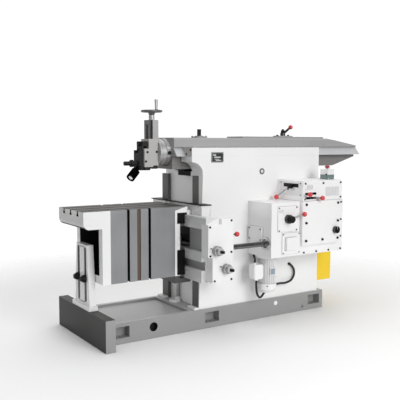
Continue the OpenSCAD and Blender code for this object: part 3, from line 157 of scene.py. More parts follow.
# %% Enamel skin
def make_enamel_skin():
    """Orange peel, cloudy patches and uneven gloss of enamel."""
    gloss_swing = 0.25
    tree, enter, leave = new_group(
        "Enamel_Skin",
        [("Colour", "c", (0.8, 0.8, 0.8, 1)), ("Clouds", "f", 0.05), ("Roughness", "f", 0.35),
         ("Grain Size", "f", 260.0)],
        [("Colour", "c"), ("Roughness", "f"), ("Height", "f")])
    place = add(tree, "ShaderNodeTexCoord").outputs["Object"]
    clouds = add(tree, "ShaderNodeTexNoise", {"Vector": place}, Scale=3.0, Detail=4.0)
    peel = add(tree, "ShaderNodeTexNoise",
               {"Vector": place, "Scale": enter.outputs["Grain Size"]}, Detail=2.0)
    swing = maths(tree, "SUBTRACT", clouds.outputs["Fac"], MIDDLE)
    shade = maths(tree, "ADD", maths(tree, "MULTIPLY", swing, enter.outputs["Clouds"]), 1.0)
    colour = shaded(tree, enter.outputs["Colour"], shade)
    rough = maths(tree, "ADD", maths(tree, "MULTIPLY", swing, gloss_swing), enter.outputs["Roughness"])
    feed(tree, leave, {"Colour": colour, "Roughness": rough, "Height": peel.outputs["Fac"]})
    return tree


ENAMEL_SKIN = make_enamel_skin()
print("group", ENAMEL_SKIN.name)

# %% Planed lines
def make_planed_lines():
    """Fine lines along the cut, with faint stains."""
    stain_gloss = 0.35
    tree, enter, leave = new_group(
        "Planed_Lines",
        [("Colour", "c", (0.5, 0.5, 0.5, 1)), ("Lines Per Metre", "v", (4.0, 900.0, 900.0)),
         ("Contrast", "f", 0.15), ("Roughness", "f", 0.35), ("Stain", "f", 0.1)],
        [("Colour", "c"), ("Roughness", "f"), ("Height", "f")])
    place = add(tree, "ShaderNodeTexCoord").outputs["Object"]
    stretched = add(tree, "ShaderNodeVectorMath",
                    {0: place, 1: enter.outputs["Lines Per Metre"]}, operation="MULTIPLY")
    lines = add(tree, "ShaderNodeTexNoise", {"Vector": stretched.outputs[0]}, Scale=1.0, Detail=3.0)
    stains = add(tree, "ShaderNodeTexNoise", {"Vector": place}, Scale=7.0, Detail=5.0)
    swing = maths(tree, "SUBTRACT", lines.outputs["Fac"], MIDDLE)
    patch = maths(tree, "SUBTRACT", stains.outputs["Fac"], MIDDLE)
    shade = maths(tree, "ADD", maths(tree, "MULTIPLY", swing, enter.outputs["Contrast"]),
                  maths(tree, "MULTIPLY", patch, enter.outputs["Stain"]))
    shade = maths(tree, "ADD", shade, 1.0)
    colour = shaded(tree, enter.outputs["Colour"], shade)
    rough = maths(tree, "ADD", maths(tree, "MULTIPLY", patch, stain_gloss), enter.outputs["Roughness"])
    feed(tree, leave, {"Colour": colour, "Roughness": rough, "Height": lines.outputs["Fac"]})
    return tree


PLANED_LINES = make_planed_lines()
print("group", PLANED_LINES.name)

# %% Worn edges
def make_worn_edges():
    """Bare metal where paint has chipped off sharp edges."""
    edge_gain, chip_level = 9.0, 0.3
    tree, enter, leave = new_group(
        "Worn_Edges",
        [("Colour", "c", (0.8, 0.8, 0.8, 1)), ("Bare Metal", "c", (0.45, 0.44, 0.43, 1)),
         ("Reach", "f", 0.004), ("Amount", "f", 0.4)],
        [("Colour", "c"), ("Mask", "f")])
    shape = add(tree, "ShaderNodeNewGeometry")
    soft = add(tree, "ShaderNodeBevel", {"Radius": enter.outputs["Reach"]}, samples=4)
    dot = add(tree, "ShaderNodeVectorMath",
              {0: soft.outputs[0], 1: shape.outputs["Normal"]}, operation="DOT_PRODUCT")
    edge = maths(tree, "SUBTRACT", 1.0, dot.outputs["Value"])
    place = add(tree, "ShaderNodeTexCoord").outputs["Object"]
    chips = add(tree, "ShaderNodeTexNoise", {"Vector": place}, Scale=60.0, Detail=4.0)
    broken = maths(tree, "MULTIPLY", maths(tree, "MULTIPLY", edge, edge_gain),
                   maths(tree, "SUBTRACT", chips.outputs["Fac"], chip_level))
    mask = add(tree, "ShaderNodeClamp",
               {"Value": maths(tree, "MULTIPLY", broken, enter.outputs["Amount"])})
    colour = blend_colour(tree, "MIX", mask.outputs[0], enter.outputs["Colour"],
                          enter.outputs["Bare Metal"])
    feed(tree, leave, {"Colour": colour, "Mask": mask.outputs[0]})
    return tree


WORN_EDGES = make_worn_edges()
print("group", WORN_EDGES.name)

# %% Zones
def make_zone():
    """A mask that is one beyond a plane across the piece."""
    tree, enter, leave = new_group(
        "Zone",
        [("Direction", "v", (1.0, 0.0, 0.0)), ("From", "f", 0.0)],
        [("Mask", "f")])
    place = add(tree, "ShaderNodeTexCoord").outputs["Object"]
    along = add(tree, "ShaderNodeVectorMath",
                {0: place, 1: enter.outputs["Direction"]}, operation="DOT_PRODUCT")
    mask = maths(tree, "GREATER_THAN", along.outputs["Value"], enter.outputs["From"])
    feed(tree, leave, {"Mask": mask})
    return tree


ZONE = make_zone()
print("groups", [g.name for g in bpy.data.node_groups])

# %% [markdown]
# ## Materials
# Two functions build most finishes.  `enamel` is paint on a casting, with a thin clear coat.
# `machined` is bare metal with cutting lines along one direction of the piece.  Both keep the
# Principled shader in the material, and only let the groups feed its colour, roughness and
# bump.

# %% Builders of finishes
def grey(value, warm=0.0):
    """A near-neutral colour from one level, a little warm or cool."""
    return (value * (1 + warm), value, value * (1 - warm), 1)


def start_material(name):
    """A new material, its node tree and its Principled shader."""
    material = bpy.data.materials.new(name)
    material.use_nodes = True
    tree = material.node_tree
    return material, tree, tree.nodes["Principled BSDF"]


def use(tree, group, **values):
    """A group node with its input sockets set by name, spaces written as underscores."""
    node = tree.nodes.new("ShaderNodeGroup")
    node.node_tree = group
    for key, value in values.items():
        node.inputs[key.replace("_", " ")].default_value = value
    return node


def bump_from(tree, height, shader, strength, distance):
    """Lets a height raise the surface a little."""
    bump = add(tree, "ShaderNodeBump", {"Height": height}, Strength=strength, Distance=distance)
    feed(tree, shader, {"Normal": bump.outputs[0]})


COAT_ROUGHNESS, PEEL_STRENGTH, PEEL_DEPTH, BARE_IRON = 0.2, 0.12, 0.0003, grey(0.42)


def enamel(name, colour, roughness=0.38, clouds=0.06, wear=0.25, grain=260.0, coat=0.15, shine=0.5):
    """Machine enamel over a casting, chipped a little along its edges."""
    material, tree, shader = start_material(name)
    skin = use(tree, ENAMEL_SKIN, Colour=colour, Clouds=clouds, Roughness=roughness,
               Grain_Size=grain)
    edges = use(tree, WORN_EDGES, Bare_Metal=BARE_IRON, Amount=wear)
    feed(tree, edges, {"Colour": skin.outputs["Colour"]})
    feed(tree, shader, {"Base Color": edges.outputs["Colour"], "Roughness": skin.outputs["Roughness"]})
    shader.inputs["Coat Weight"].default_value = coat
    shader.inputs["Coat Roughness"].default_value = COAT_ROUGHNESS
    shader.inputs["Specular IOR Level"].default_value = shine
    bump_from(tree, skin.outputs["Height"], shader, PEEL_STRENGTH, PEEL_DEPTH)
    return material


def machined(name, colour, roughness=0.35, metallic=0.85, lines=(4.0, 900.0, 900.0),
             contrast=0.18, stain=0.12, depth=0.0002, strength=0.15, shine=0.5):
    """Bare metal that shows the lines of the tool."""
    material, tree, shader = start_material(name)
    cut = use(tree, PLANED_LINES, Colour=colour, Lines_Per_Metre=lines, Contrast=contrast,
              Roughness=roughness, Stain=stain)
    feed(tree, shader, {"Base Color": cut.outputs["Colour"], "Roughness": cut.outputs["Roughness"]})
    shader.inputs["Metallic"].default_value = metallic
    shader.inputs["Specular IOR Level"].default_value = shine
    bump_from(tree, cut.outputs["Height"], shader, strength, depth)
    return material


print("builders of finishes ready")

# %% Paint, plastic and rubber
WHITE = enamel("white_enamel", grey(0.86))
IVORY = enamel("ivory_enamel", grey(0.45, 0.03), wear=0.35)
BASE_GREY = enamel("base_grey_enamel", grey(0.30), roughness=0.45, wear=0.15)
# Near-black paint for the base's front bar: on its front face, turned from the lamps, it is painted shade;
# its top takes the same paint.
BAR_DARK_AND_SHADE = enamel("bar_dark_enamel_and_painted_shade", grey(0.028, 0.03), roughness=0.6, clouds=0.3, wear=0.1,
                  shine=0.3)
# Painted light: the upward faces of the base's tray take a lighter grey than the rest of the base.
TRAY_LIT_GREY = enamel("tray_painted_light_enamel", grey(0.50), roughness=0.5, wear=0.1)
RAM_GREY = enamel("ram_grey_enamel", grey(0.36), roughness=0.42, wear=0.15)
# Painted shade: the ram's faces below its dovetail take a darker grey than the ram.
RAM_BELLY_SHADE = enamel("ram_belly_painted_shade", grey(0.20, 0.03), roughness=0.5, wear=0.1)
# Painted shade: the table's faces towards the tool end take a grey darker than its white.
LIP_SHADE_GREY = enamel("lip_painted_shade_enamel", grey(0.62), wear=0.15)
FIN_SHADE = enamel("fin_shade", grey(0.60), roughness=0.5, wear=0.0)
YELLOW = enamel("yellow_enamel", (0.90, 0.62, 0.02, 1), wear=0.15)
STOP_RED = enamel("stop_red", (0.36, 0.02, 0.04, 1), roughness=0.3, wear=0.0, coat=0.3)
RED_BALL = enamel("red_ball", (0.62, 0.03, 0.035, 1), roughness=0.22, clouds=0.05, wear=0.0,
                  coat=0.5)
BLACK_PLASTIC = enamel("black_plastic", grey(0.005), roughness=0.5, wear=0.0, coat=0.0,
                       shine=0.12)
LAMP_BLACK = enamel("lamp_black", grey(0.002), roughness=0.75, wear=0.0, coat=0.0, shine=0.0)
RUBBER = enamel("black_rubber", grey(0.015), roughness=0.62, wear=0.0, grain=700.0, coat=0.0)
print("paints, plastic and rubber", len(bpy.data.materials))

# %% Bare metal
# Each metal has its colour, roughness, share of metal, lines per metre along X, Y and Z, and
# the contrast of the lines.
PLANED_TOP = machined("planed_table_top", grey(0.085, 0.06), 0.6, 0.2, (3, 420, 420), 0.30, stain=0.25)
GROOVE_BROWN = machined("oiled_groove", (0.115, 0.075, 0.055, 1), 0.5, 0.3, (500, 500, 3), 0.3)
# Way iron, also painted shade on the saddle's lower arm.
WAY_IRON_AND_SHADE = machined("scraped_way_and_painted_shade", grey(0.12, 0.01), 0.5, 0.3, (600, 600, 4), 0.15)
GUIDE_IRON = machined("planed_guide", grey(0.74), 0.45, 0.4, (500, 4, 500), 0.14)
DOVETAIL = machined("planed_dovetail", grey(0.66, -0.02), 0.4, 0.3, (3, 700, 700), 0.1)
# Dark bar iron, also painted shade on the front of the head's bar.
BAR_IRON_AND_SHADE = machined("scraped_bar_and_painted_shade", grey(0.15, 0.01), 0.45, 0.35, (600, 600, 5), 0.18)
# The rail's web iron, also painted light on the near way's side and in the bar's screw slot, and painted
# shade in the support's slots.
RAIL_WEB_AND_PAINTED_LIGHT = machined("rail_web_iron_and_painted_light", grey(0.36), 0.5, 0.3, (500, 4, 500), 0.14)
TURNED_DISC = machined("turned_disc", grey(0.50), 0.38, 0.55, (900, 30, 30), 0.16)
STEEL = machined("turned_steel", grey(0.62), 0.28, 1.0, (60, 60, 1400), 0.2)
DARK_STEEL = machined("dark_steel", grey(0.07), 0.28, 0.8, (1200, 40, 40), 0.4)
SCREW_STEEL = machined("screw_steel", grey(0.34), 0.35, 0.9, (20, 20, 170), 0.9, strength=0.6, depth=0.002)
SHAFT_STEEL = machined("shaft_steel", grey(0.17), 0.2, 1.0, (6, 300, 300), 0.15)
WHEEL_STEEL = machined("wheel_steel", grey(0.16), 0.4, 0.55, (60, 60, 900), 0.25)
HANDLE_STEEL = machined("handle_steel", grey(0.55), 0.45, 0.45, (60, 60, 500), 0.15)
LEVER_STEEL = machined("lever_steel", grey(0.26), 0.3, 0.9, (300, 300, 300), 0.15)
HUB_GREY = machined("hub_grey", grey(0.055), 0.5, 0.2, (300, 20, 300), 0.4)
DIAL_GREY = machined("dial_grey", grey(0.36), 0.35, 0.75, (700, 20, 700), 0.25)
DIAL_FACE = machined("dial_face", grey(0.60), 0.42, 0.4, (700, 20, 700), 0.15)
# Black iron, also painted shade in the table's slots, in its hollow and under its lip.
BLACK_IRON_AND_SHADE = machined("black_iron_and_painted_shade", grey(0.020), 0.55, 0.0, (250, 250, 250), 0.5, shine=0.2)
# Black oxide, also painted shade inside the control box, in a hole of the base, and behind the rail's
# window.
BLACK_OXIDE_AND_SHADE = machined("black_oxide_and_painted_shade", grey(0.008), 0.5, 0.0, (300, 300, 300), 0.4, shine=0.2)
BRONZE = machined("bearing_bronze", (0.55, 0.36, 0.12, 1), 0.35, 1.0)
CHROME = machined("polished_chrome", grey(0.80), 0.12, 1.0, contrast=0.04, stain=0.05, strength=0.03)
PLATE_PALE = machined("pale_plate", grey(0.74, -0.01), 0.4, 0.15, contrast=0.06)
PLATE_DARK = machined("dark_plate", grey(0.06, -0.03), 0.35, 0.6, contrast=0.3)
PLATE_BLUE = machined("motor_plate_blue", (0.30, 0.36, 0.42, 1), metallic=0.3)
SEAM = machined("joint_line", grey(0.30), 0.6, 0.1, contrast=0.2)
print("materials", len(bpy.data.materials))

# %% [markdown]
# ## Dressing the castings
# A CAD node may carry several finishes: a cast wall is painted, but its slideway is bare.
# Each face takes a finish by its place and its normal, and the mesh itself stays as it is.
# Where the finish changes in the middle of a wall, `two_zones` changes it along a line in the
# material.  A weld and a small bevel modifier round the edges, as a foundry pattern does.

# %% Faces to finishes
def dress(node, default, *rules):
    """Gives a CAD node its finishes: each rule is (material, test of face centre and normal)."""
    obj = nodes[node]
    obj.data.materials.clear()
    for material in [default] + [r[0] for r in rules]:
        obj.data.materials.append(material)
    for face in obj.data.polygons:
        hits = (i for i, (_, test) in enumerate(rules, 1) if test(face.center, face.normal))
        face.material_index = next(hits, 0)


WELD_REACH, SHARP_EDGE, ROUND_STEPS = 0.00002, math.radians(40), 2


def round_edges(node, width):
    """Rounds the sharp edges of a CAD node by modifiers alone."""
    obj = nodes[node]
    weld = obj.modifiers.new("weld", "WELD")
    weld.merge_threshold = WELD_REACH
    bevel = obj.modifiers.new("rounding", "BEVEL")
    bevel.width = width
    bevel.segments = ROUND_STEPS
    bevel.limit_method = "ANGLE"
    bevel.angle_limit = SHARP_EDGE
    bevel.harden_normals = False
    obj.modifiers.new("normals", "WEIGHTED_NORMAL")


def near(point, radius):
    """A test that is true for faces within a radius of a point."""
    centre = Vector(point)
    return lambda c, n: (c - centre).length < radius


print("dressing helpers ready")

# %% Finishes in two zones
ZONE_STRENGTH, ZONE_DEPTH = 0.08, 0.0002


def two_zones(name, paint, iron, direction, start, *more, shine=0.5, metal=0.0):
    """Paint on one side of a line across the piece, and beyond it a second finish with planed lines:
    planed iron on some pieces, painted shade on others.

    More pairs of direction and start narrow the second finish to a field.  Metal is how metallic that
    finish is, and shine is how much both mirror."""
    material, tree, shader = start_material(name)
    mask = use(tree, ZONE, Direction=direction, From=start).outputs["Mask"]
    skin = use(tree, ENAMEL_SKIN, Colour=paint, Clouds=0.05, Roughness=0.4, Grain_Size=260.0)
    cut = use(tree, PLANED_LINES, Colour=iron, Lines_Per_Metre=(500.0, 500.0, 3.0),
              Contrast=0.10, Roughness=0.42, Stain=0.22)
    for way, begin in more:
        mask = maths(tree, "MULTIPLY", mask,
                     use(tree, ZONE, Direction=way, From=begin).outputs["Mask"])
    colour = blend_colour(tree, "MIX", mask, skin.outputs["Colour"], cut.outputs["Colour"])
    feed(tree, shader, {"Base Color": colour, "Roughness": cut.outputs["Roughness"]})
    shader.inputs["Specular IOR Level"].default_value = shine
    bump_from(tree, cut.outputs["Height"], shader, ZONE_STRENGTH, ZONE_DEPTH)
    if metal:
        feed(tree, shader, {"Metallic": maths(tree, "MULTIPLY", mask, metal)})
    return material


# Each line between two zones is a direction and the distance along it, in metres.
AWAY_X, NEAR_Y, AWAY_Y = (1.0, 0.0, 0.0), (0.0, -1.0, 0.0), (0.0, 1.0, 0.0)
UPWARDS, DOWNWARDS = (0.0, 0.0, 1.0), (0.0, 0.0, -1.0)
SADDLE_SHADE_EDGE = 0.3675
BAR_SIDE = two_zones("bar_side_two_tone", grey(0.45, 0.03), grey(0.42), UPWARDS, 1.257)
# Painted light and shadow on the column's front face: its white is lighter than the white enamel, and a
# near-black field under the ram nose is painted shadow of the throat.
THROAT_SHADE_AND_LIGHT = two_zones("column_front_painted_light_and_throat_shadow", grey(0.95), grey(0.003), UPWARDS, 1.010, (NEAR_Y, -0.072),
                   (AWAY_Y, -0.092), shine=0.06)
# Painted shade: the saddle's sides and front are white above a line and near-black below it, where the
# rail shades the lower arm.
SADDLE_SIDE_SHADE = two_zones("saddle_side_painted_shade", grey(0.86), grey(0.06), DOWNWARDS, -SADDLE_SHADE_EDGE)
TABLE_SIDE = two_zones("table_side_with_border", grey(0.86), grey(0.285, -0.025), AWAY_X, -0.832,
                       metal=0.55)
STOP_CASE = two_zones("stop_box_two_tone", (0.16, 0.21, 0.21, 1), grey(0.80), UPWARDS, 1.010)
print("materials", len(bpy.data.materials))

# %% Frame castings
# A face looks along an axis when that part of its normal passes one of these limits.
SQUARE, SLANTED = 0.9, 0.5
BAR_FRONT, BAR_TOP, TRAY_LOW, TRAY_HIGH = -0.951, 0.194, 0.10, 0.14
BASE_HOLE_X, BASE_HOLE_Z, BASE_HOLE_RADIUS = -0.567, 0.0745, 0.0292
BASE_HOLE_OUT, BASE_HOLE_IN = -0.2515, -0.2
dress("base", BASE_GREY,
      # the bar's front face: near-black paint as painted shade
      (BAR_DARK_AND_SHADE, lambda c, n: c.x < BAR_FRONT and n.x < -SQUARE),
      (BAR_DARK_AND_SHADE, lambda c, n: c.z > BAR_TOP and n.z > SQUARE),
      # the tray's floor: a lighter grey as painted light
      (TRAY_LIT_GREY, lambda c, n: n.z > SQUARE and TRAY_LOW < c.z < TRAY_HIGH),
      # the walls of the round hole in the base's near side: near-black as painted shade
      (BLACK_OXIDE_AND_SHADE, lambda c, n: BASE_HOLE_OUT < c.y < BASE_HOLE_IN
       and math.hypot(c.x - BASE_HOLE_X, c.z - BASE_HOLE_Z) < BASE_HOLE_RADIUS))
COLUMN_FRONT, WAY_BACK, WAY_TOP, WAY_INSIDE = -0.189, -0.19, 1.02, 0.158
dress("column", WHITE,
      # the column's front face: painted light, with a painted shadow under the ram nose
      (THROAT_SHADE_AND_LIGHT, lambda c, n: n.x < -SQUARE and abs(c.x - COLUMN_FRONT) < 0.001),
      # the near way's side towards the operator: a lighter grey than its iron, as painted light on the lit
      # side
      (RAIL_WEB_AND_PAINTED_LIGHT, lambda c, n: c.x < WAY_BACK and c.z < WAY_TOP and c.y < -WAY_INSIDE
       and n.y < -SLANTED),
      (WAY_IRON_AND_SHADE, lambda c, n: c.x < WAY_BACK and c.z < WAY_TOP and abs(c.y) > WAY_INSIDE
       and abs(n.z) < SLANTED and (n.x < -SLANTED or abs(n.y) > SLANTED)))
UNDERCUT = 0.2
dress("ram_guides", WHITE,
      (DOVETAIL, lambda c, n: n.z < -UNDERCUT and abs(n.y) > UNDERCUT),
      (IVORY, lambda c, n: n.x < -SQUARE))
MOTOR_AT, MOTOR_FIN_ROOT, MOTOR_FIN_TOP = (0.256, -0.360), 0.0592, 0.45
dress("feed_motor", WHITE,
      (FIN_SHADE, lambda c, n: abs(n.z) < SLANTED and c.z < MOTOR_FIN_TOP
       and math.hypot(c.x - MOTOR_AT[0], c.y - MOTOR_AT[1]) < MOTOR_FIN_ROOT))
# Painted shade: the faces inside the control box, seen through the lever slots, are painted near-black.
CONTROL_INSIDE = ((0.452, 0.813), (-0.499, -0.24), (0.8395, 0.9745))
dress("control_box", WHITE,
      (BLACK_OXIDE_AND_SHADE, lambda c, n: all(low < v < high for v, (low, high) in zip(c, CONTROL_INSIDE))))
GUIDE_SCREWS_ABOVE, PAINTED_SCREW = 1.19, (0.468, -0.503, 0.918)
dress("frame_screws", BLACK_OXIDE_AND_SHADE,
      (RAM_GREY, lambda c, n: c.z > GUIDE_SCREWS_ABOVE), (WHITE, near(PAINTED_SCREW, 0.014)))
print("dressed the frame")

# %% Ram, head and rail
DOVETAIL_TOP, BELLY_TOP = 1.205, 1.14
dress("ram", RAM_GREY,
      (DOVETAIL, lambda c, n: abs(n.y) > SLANTED and n.z > 0.3 and c.z < DOVETAIL_TOP),
      # below the dovetail: a darker grey as painted shade
      (RAM_BELLY_SHADE, lambda c, n: c.z < BELLY_TOP and n.z > -SQUARE),
      (BAR_IRON_AND_SHADE, lambda c, n: n.z < -SQUARE))
HEAD_Z, BAR_BACK, BAR_FACE, BAR_HALF = 1.169, -0.4155, -0.4705, 0.0515
SCREW_SLOT_BACK, SCREW_SLOT_HALF = -0.42, 0.019
DISC_FRONT, DISC_BOSS, DISC_BELOW = -0.418, 0.06, 1.27
# The head's bar takes dark iron on its front, darker than the grey iron on its sides: painted shade on the
# face turned from the lamps.
dress("swivel_head", BAR_IRON_AND_SHADE,
      (BAR_SIDE, lambda c, n: abs(c.y) > BAR_HALF and abs(n.y) > SQUARE and c.x < BAR_BACK),
      # the bar's screw slot: a lighter grey than the bar, as painted light against the shade in the slot
      (RAIL_WEB_AND_PAINTED_LIGHT, lambda c, n: abs(c.y) < SCREW_SLOT_HALF and BAR_FACE < c.x < SCREW_SLOT_BACK),
      (TURNED_DISC, lambda c, n: c.x > DISC_FRONT and c.z < DISC_BELOW
       and math.hypot(c.y, c.z - HEAD_Z) > DISC_BOSS))
NUT_HALF = 0.02
dress("tool_slide", IVORY, (BRONZE, lambda c, n: c.x > BAR_FACE and abs(c.y) < NUT_HALF))
HANDLE_FOOT, SQUARE_END = 1.4475, 1.283
dress("handwheel", WHEEL_STEEL, (HANDLE_STEEL, lambda c, n: c.z > HANDLE_FOOT))
dress("position_shaft", WHEEL_STEEL, (BLACK_IRON_AND_SHADE, lambda c, n: c.z > SQUARE_END))
WEB_FRONT, WEB_BACK, SLIDE_FRONT, SLIDE_ABOVE, SLIDE_INSIDE = -0.28, -0.26, -0.262, 0.70, 0.2
dress("cross_rail", GUIDE_IRON,
      (RAIL_WEB_AND_PAINTED_LIGHT, lambda c, n: n.x < -SQUARE and WEB_FRONT < c.x < WEB_BACK),
      (WHITE, lambda c, n: c.x > SLIDE_FRONT and c.z > SLIDE_ABOVE and abs(c.y) > SLIDE_INSIDE))
DIAL_FRONT, DIAL_BACK = -0.5215, -0.47
for dial_node in ("cross_screw", "lift_dial"):
    dress(dial_node, DIAL_GREY,
          (BLACK_OXIDE_AND_SHADE, lambda c, n: c.y < DIAL_FRONT),
          (DIAL_FACE, lambda c, n: n.y < -0.8),
          (SCREW_STEEL, lambda c, n: c.y > DIAL_BACK))
print("dressed ram, head and rail")

# %% Table and its support
TABLE_TOP, TABLE_WALL, LIP_FRONT = 0.819, 0.1965, -0.99
TOP_SLOT_PITCH, TOP_SLOT_HALF, TOP_SLOT_FLOOR = 0.108, 0.0152, 0.788
SIDE_SLOTS, SIDE_SLOT_HALF, SIDE_SLOT_FLOOR = (-0.711, -0.562), 0.016, 0.16
GROOVE_X, GROOVE_HALF, GROOVE_FLOOR, GROOVE_RIM = -0.638, 0.0135, 0.1895, 0.1975
LIP_BACK, LIP_BELOW, SIDE_FRONT, SIDE_BACK = -0.888, 0.76, -0.887, -0.37
HOLLOW_HALF, HOLLOW_LOW, HOLLOW_HIGH, HOLLOW_FRONT = 0.1475, 0.416, 0.751, -0.886
dress("table", WHITE,
      # the walls and floors of the top T-slots: near-black as painted shade
      (BLACK_IRON_AND_SHADE, lambda c, n: TOP_SLOT_FLOOR < c.z < TABLE_TOP + 0.0005 and abs(n.x) < SLANTED
       and min(abs(c.y), abs(abs(c.y) - TOP_SLOT_PITCH)) < TOP_SLOT_HALF),
      (PLANED_TOP, lambda c, n: n.z > SQUARE and c.z > TABLE_TOP),
      # the rounded underside of the lip: near-black as painted shadow
      (BLACK_IRON_AND_SHADE, lambda c, n: n.z < -0.6 and c.x < LIP_BACK and c.z < LIP_BELOW),
      # faces towards the tool end: a darker grey as painted shade
      (LIP_SHADE_GREY, lambda c, n: n.x < -0.7 and c.x < LIP_FRONT),
      (GROOVE_BROWN, lambda c, n: abs(c.x - GROOVE_X) < GROOVE_HALF
       and GROOVE_FLOOR < abs(c.y) < GROOVE_RIM),
      # the walls of the side slots: near-black as painted shade
      (BLACK_IRON_AND_SHADE, lambda c, n: min(abs(c.x - x) for x in SIDE_SLOTS) < SIDE_SLOT_HALF
       and SIDE_SLOT_FLOOR < abs(c.y) < TABLE_WALL + 0.0004 and c.z < TABLE_TOP and abs(n.z) < SLANTED),
      (TABLE_SIDE, lambda c, n: abs(n.y) > SQUARE and abs(c.y) > TABLE_WALL
       and SIDE_FRONT < c.x < SIDE_BACK),
      # the faces inside the table's hollow: near-black as painted shade
      (BLACK_IRON_AND_SHADE, lambda c, n: abs(c.y) < HOLLOW_HALF and HOLLOW_LOW < c.z < HOLLOW_HIGH
       and c.x > HOLLOW_FRONT))
SADDLE_FRONT = -0.374
dress("saddle", WHITE,
      (SADDLE_SIDE_SHADE, lambda c, n: abs(n.y) > SQUARE and abs(c.y) > TABLE_WALL
       or n.x < -SQUARE and c.x < SADDLE_FRONT),
      # the lower arm's other faces: dark way iron as painted shade under the rail
      (WAY_IRON_AND_SHADE, lambda c, n: c.z < SADDLE_SHADE_EDGE))
SUPPORT_Y, SUPPORT_SLOT_Y, SUPPORT_SLOT_HALF = 0.010, 0.052, 0.0152
SUPPORT_SLOT_LOW, SUPPORT_SLOT_HIGH = 0.24, 0.595
dress("table_support", WHITE,
      # the walls of the support's slots: a grey darker than the white, as painted shade
      (RAIL_WEB_AND_PAINTED_LIGHT, lambda c, n: abs(n.x) < SLANTED and SUPPORT_SLOT_LOW < c.z < SUPPORT_SLOT_HIGH
       and abs(abs(c.y - SUPPORT_Y) - SUPPORT_SLOT_Y) < SUPPORT_SLOT_HALF))
print("dressed the table")

# %% Levers with red balls
BALLS = {
    "rail_lever": (-0.053, -0.432, 0.647),
    "feed_lever": (0.428, -0.540, 0.757),
    "gear_lever": (0.388, -0.294, 0.858),
    "upper_speed_lever": (0.471, -0.5448, 0.888),
    "lower_speed_lever": (0.585, -0.5448, 0.859),
    "ram_clamp_lever": (0.765, 0.0, 1.350),
}
BALL_RADIUS = 0.0175
GEAR_HUB, GEAR_HUB_RADIUS = (0.450, -0.378, 0.936), 0.034
FEED_HUB, FEED_HUB_RADIUS = (0.324, -0.515, 0.727), 0.042
for lever_node, centre in BALLS.items():
    rod = DARK_STEEL if lever_node in ("rail_lever", "ram_clamp_lever") else LEVER_STEEL
    dress(lever_node, rod,
          (RED_BALL, near(centre, BALL_RADIUS)),
          (BLACK_OXIDE_AND_SHADE, near(GEAR_HUB, GEAR_HUB_RADIUS)),
          (HUB_GREY, near(FEED_HUB, FEED_HUB_RADIUS)))
dress("selector_knob", BLACK_PLASTIC, (HUB_GREY, lambda c, n: abs(n.y) < SLANTED))
print("dressed levers", len(BALLS))

# %% Pieces with one finish
ONE_FINISH = (
    (WHITE, ("feed_box", "feed_cover", "feed_plates", "fan_cowl", "terminal_box", "lift_boss",
             "rail_end_box")),
    (YELLOW, ("belt_guard",)),
    (BLACK_IRON_AND_SHADE, ("apron", "clapper", "clapper_pin", "tool_post", "main_motor", "motor_pulley",
                  "ram_block", "rocker_arm")),
    (BLACK_OXIDE_AND_SHADE, ("apron_bolt", "support_bolts", "rail_wiper")),
    (LAMP_BLACK, ("work_lamp",)),
    (WAY_IRON_AND_SHADE, ("saddle_gibs",)),
    (STEEL, ("rail_keepers", "bull_gear", "back_gear", "input_shaft", "shaft_flange")),
    (SCREW_STEEL, ("lift_screw", "ram_screw")),
    (SHAFT_STEEL, ("feed_tube", "feed_bar")),
    (HANDLE_STEEL, ("slide_screw",)),
    (BRONZE, ("slide_block",)),
    (RUBBER, ("drive_belts", "motor_cable")),
    (STOP_RED, ("stop_button",)),
    (STOP_CASE, ("stop_box",)),
)
for finish, node_names in ONE_FINISH:
    for node_name in node_names:
        dress(node_name, finish)
print("dressed the other nodes with", len(ONE_FINISH), "finishes")

# %% Round the edges of castings
ROUNDINGS = {
    0.004: ("base", "feed_box", "terminal_box"),
    0.003: ("column", "control_box", "stop_box", "table_support", "rail_end_box"),
    0.002: ("saddle", "tool_slide", "belt_guard"),
    0.0015: ("feed_plates", "table", "apron", "clapper"),
}
for width, node_names in ROUNDINGS.items():
    for node_name in node_names:
        round_edges(node_name, width)
print("rounded")

# %% [markdown]
# ## Tools for small pieces
# Small pieces are turned, bent from sheet or cast, so three helpers cover them: `turned`
# spins a profile about an axis, `sheet` fills flat outlines and leaves their holes open, with
# `plate` for a plain rectangle, and `cast_block` is a block with rounded edges.  Screws come
# as one set per place, because the real ones are bought by the box too.

# %% Meshes to pieces
def facing(axis):
    """A turn that carries local +Z to the given direction."""
    return Vector(axis).normalized().to_track_quat("Z", "Y").to_matrix().to_4x4()


def keep(name, mesh, material, body):
    """Links a mesh as a piece that moves with a body, in the slot of its finish."""
    obj = bpy.data.objects.new(name, mesh)
    scene.collection.objects.link(obj)
    mesh.materials.append(material)
    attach(obj, body)
    return obj


SMOOTH_BELOW = math.radians(35)


def mesh_of(bm, name):
    """Turns a bmesh into a mesh, smooth except at sharp edges."""
    bmesh.ops.recalc_face_normals(bm, faces=bm.faces)
    for face in bm.faces:
        face.smooth = True
    for edge in bm.edges:
        edge.smooth = not (len(edge.link_faces) == 2 and edge.calc_face_angle(0) > SMOOTH_BELOW)
    mesh = bpy.data.meshes.new(name)
    bm.to_mesh(mesh)
    bm.free()
    return mesh


# %% Turned pieces and blocks
ON_AXIS = 1e-7


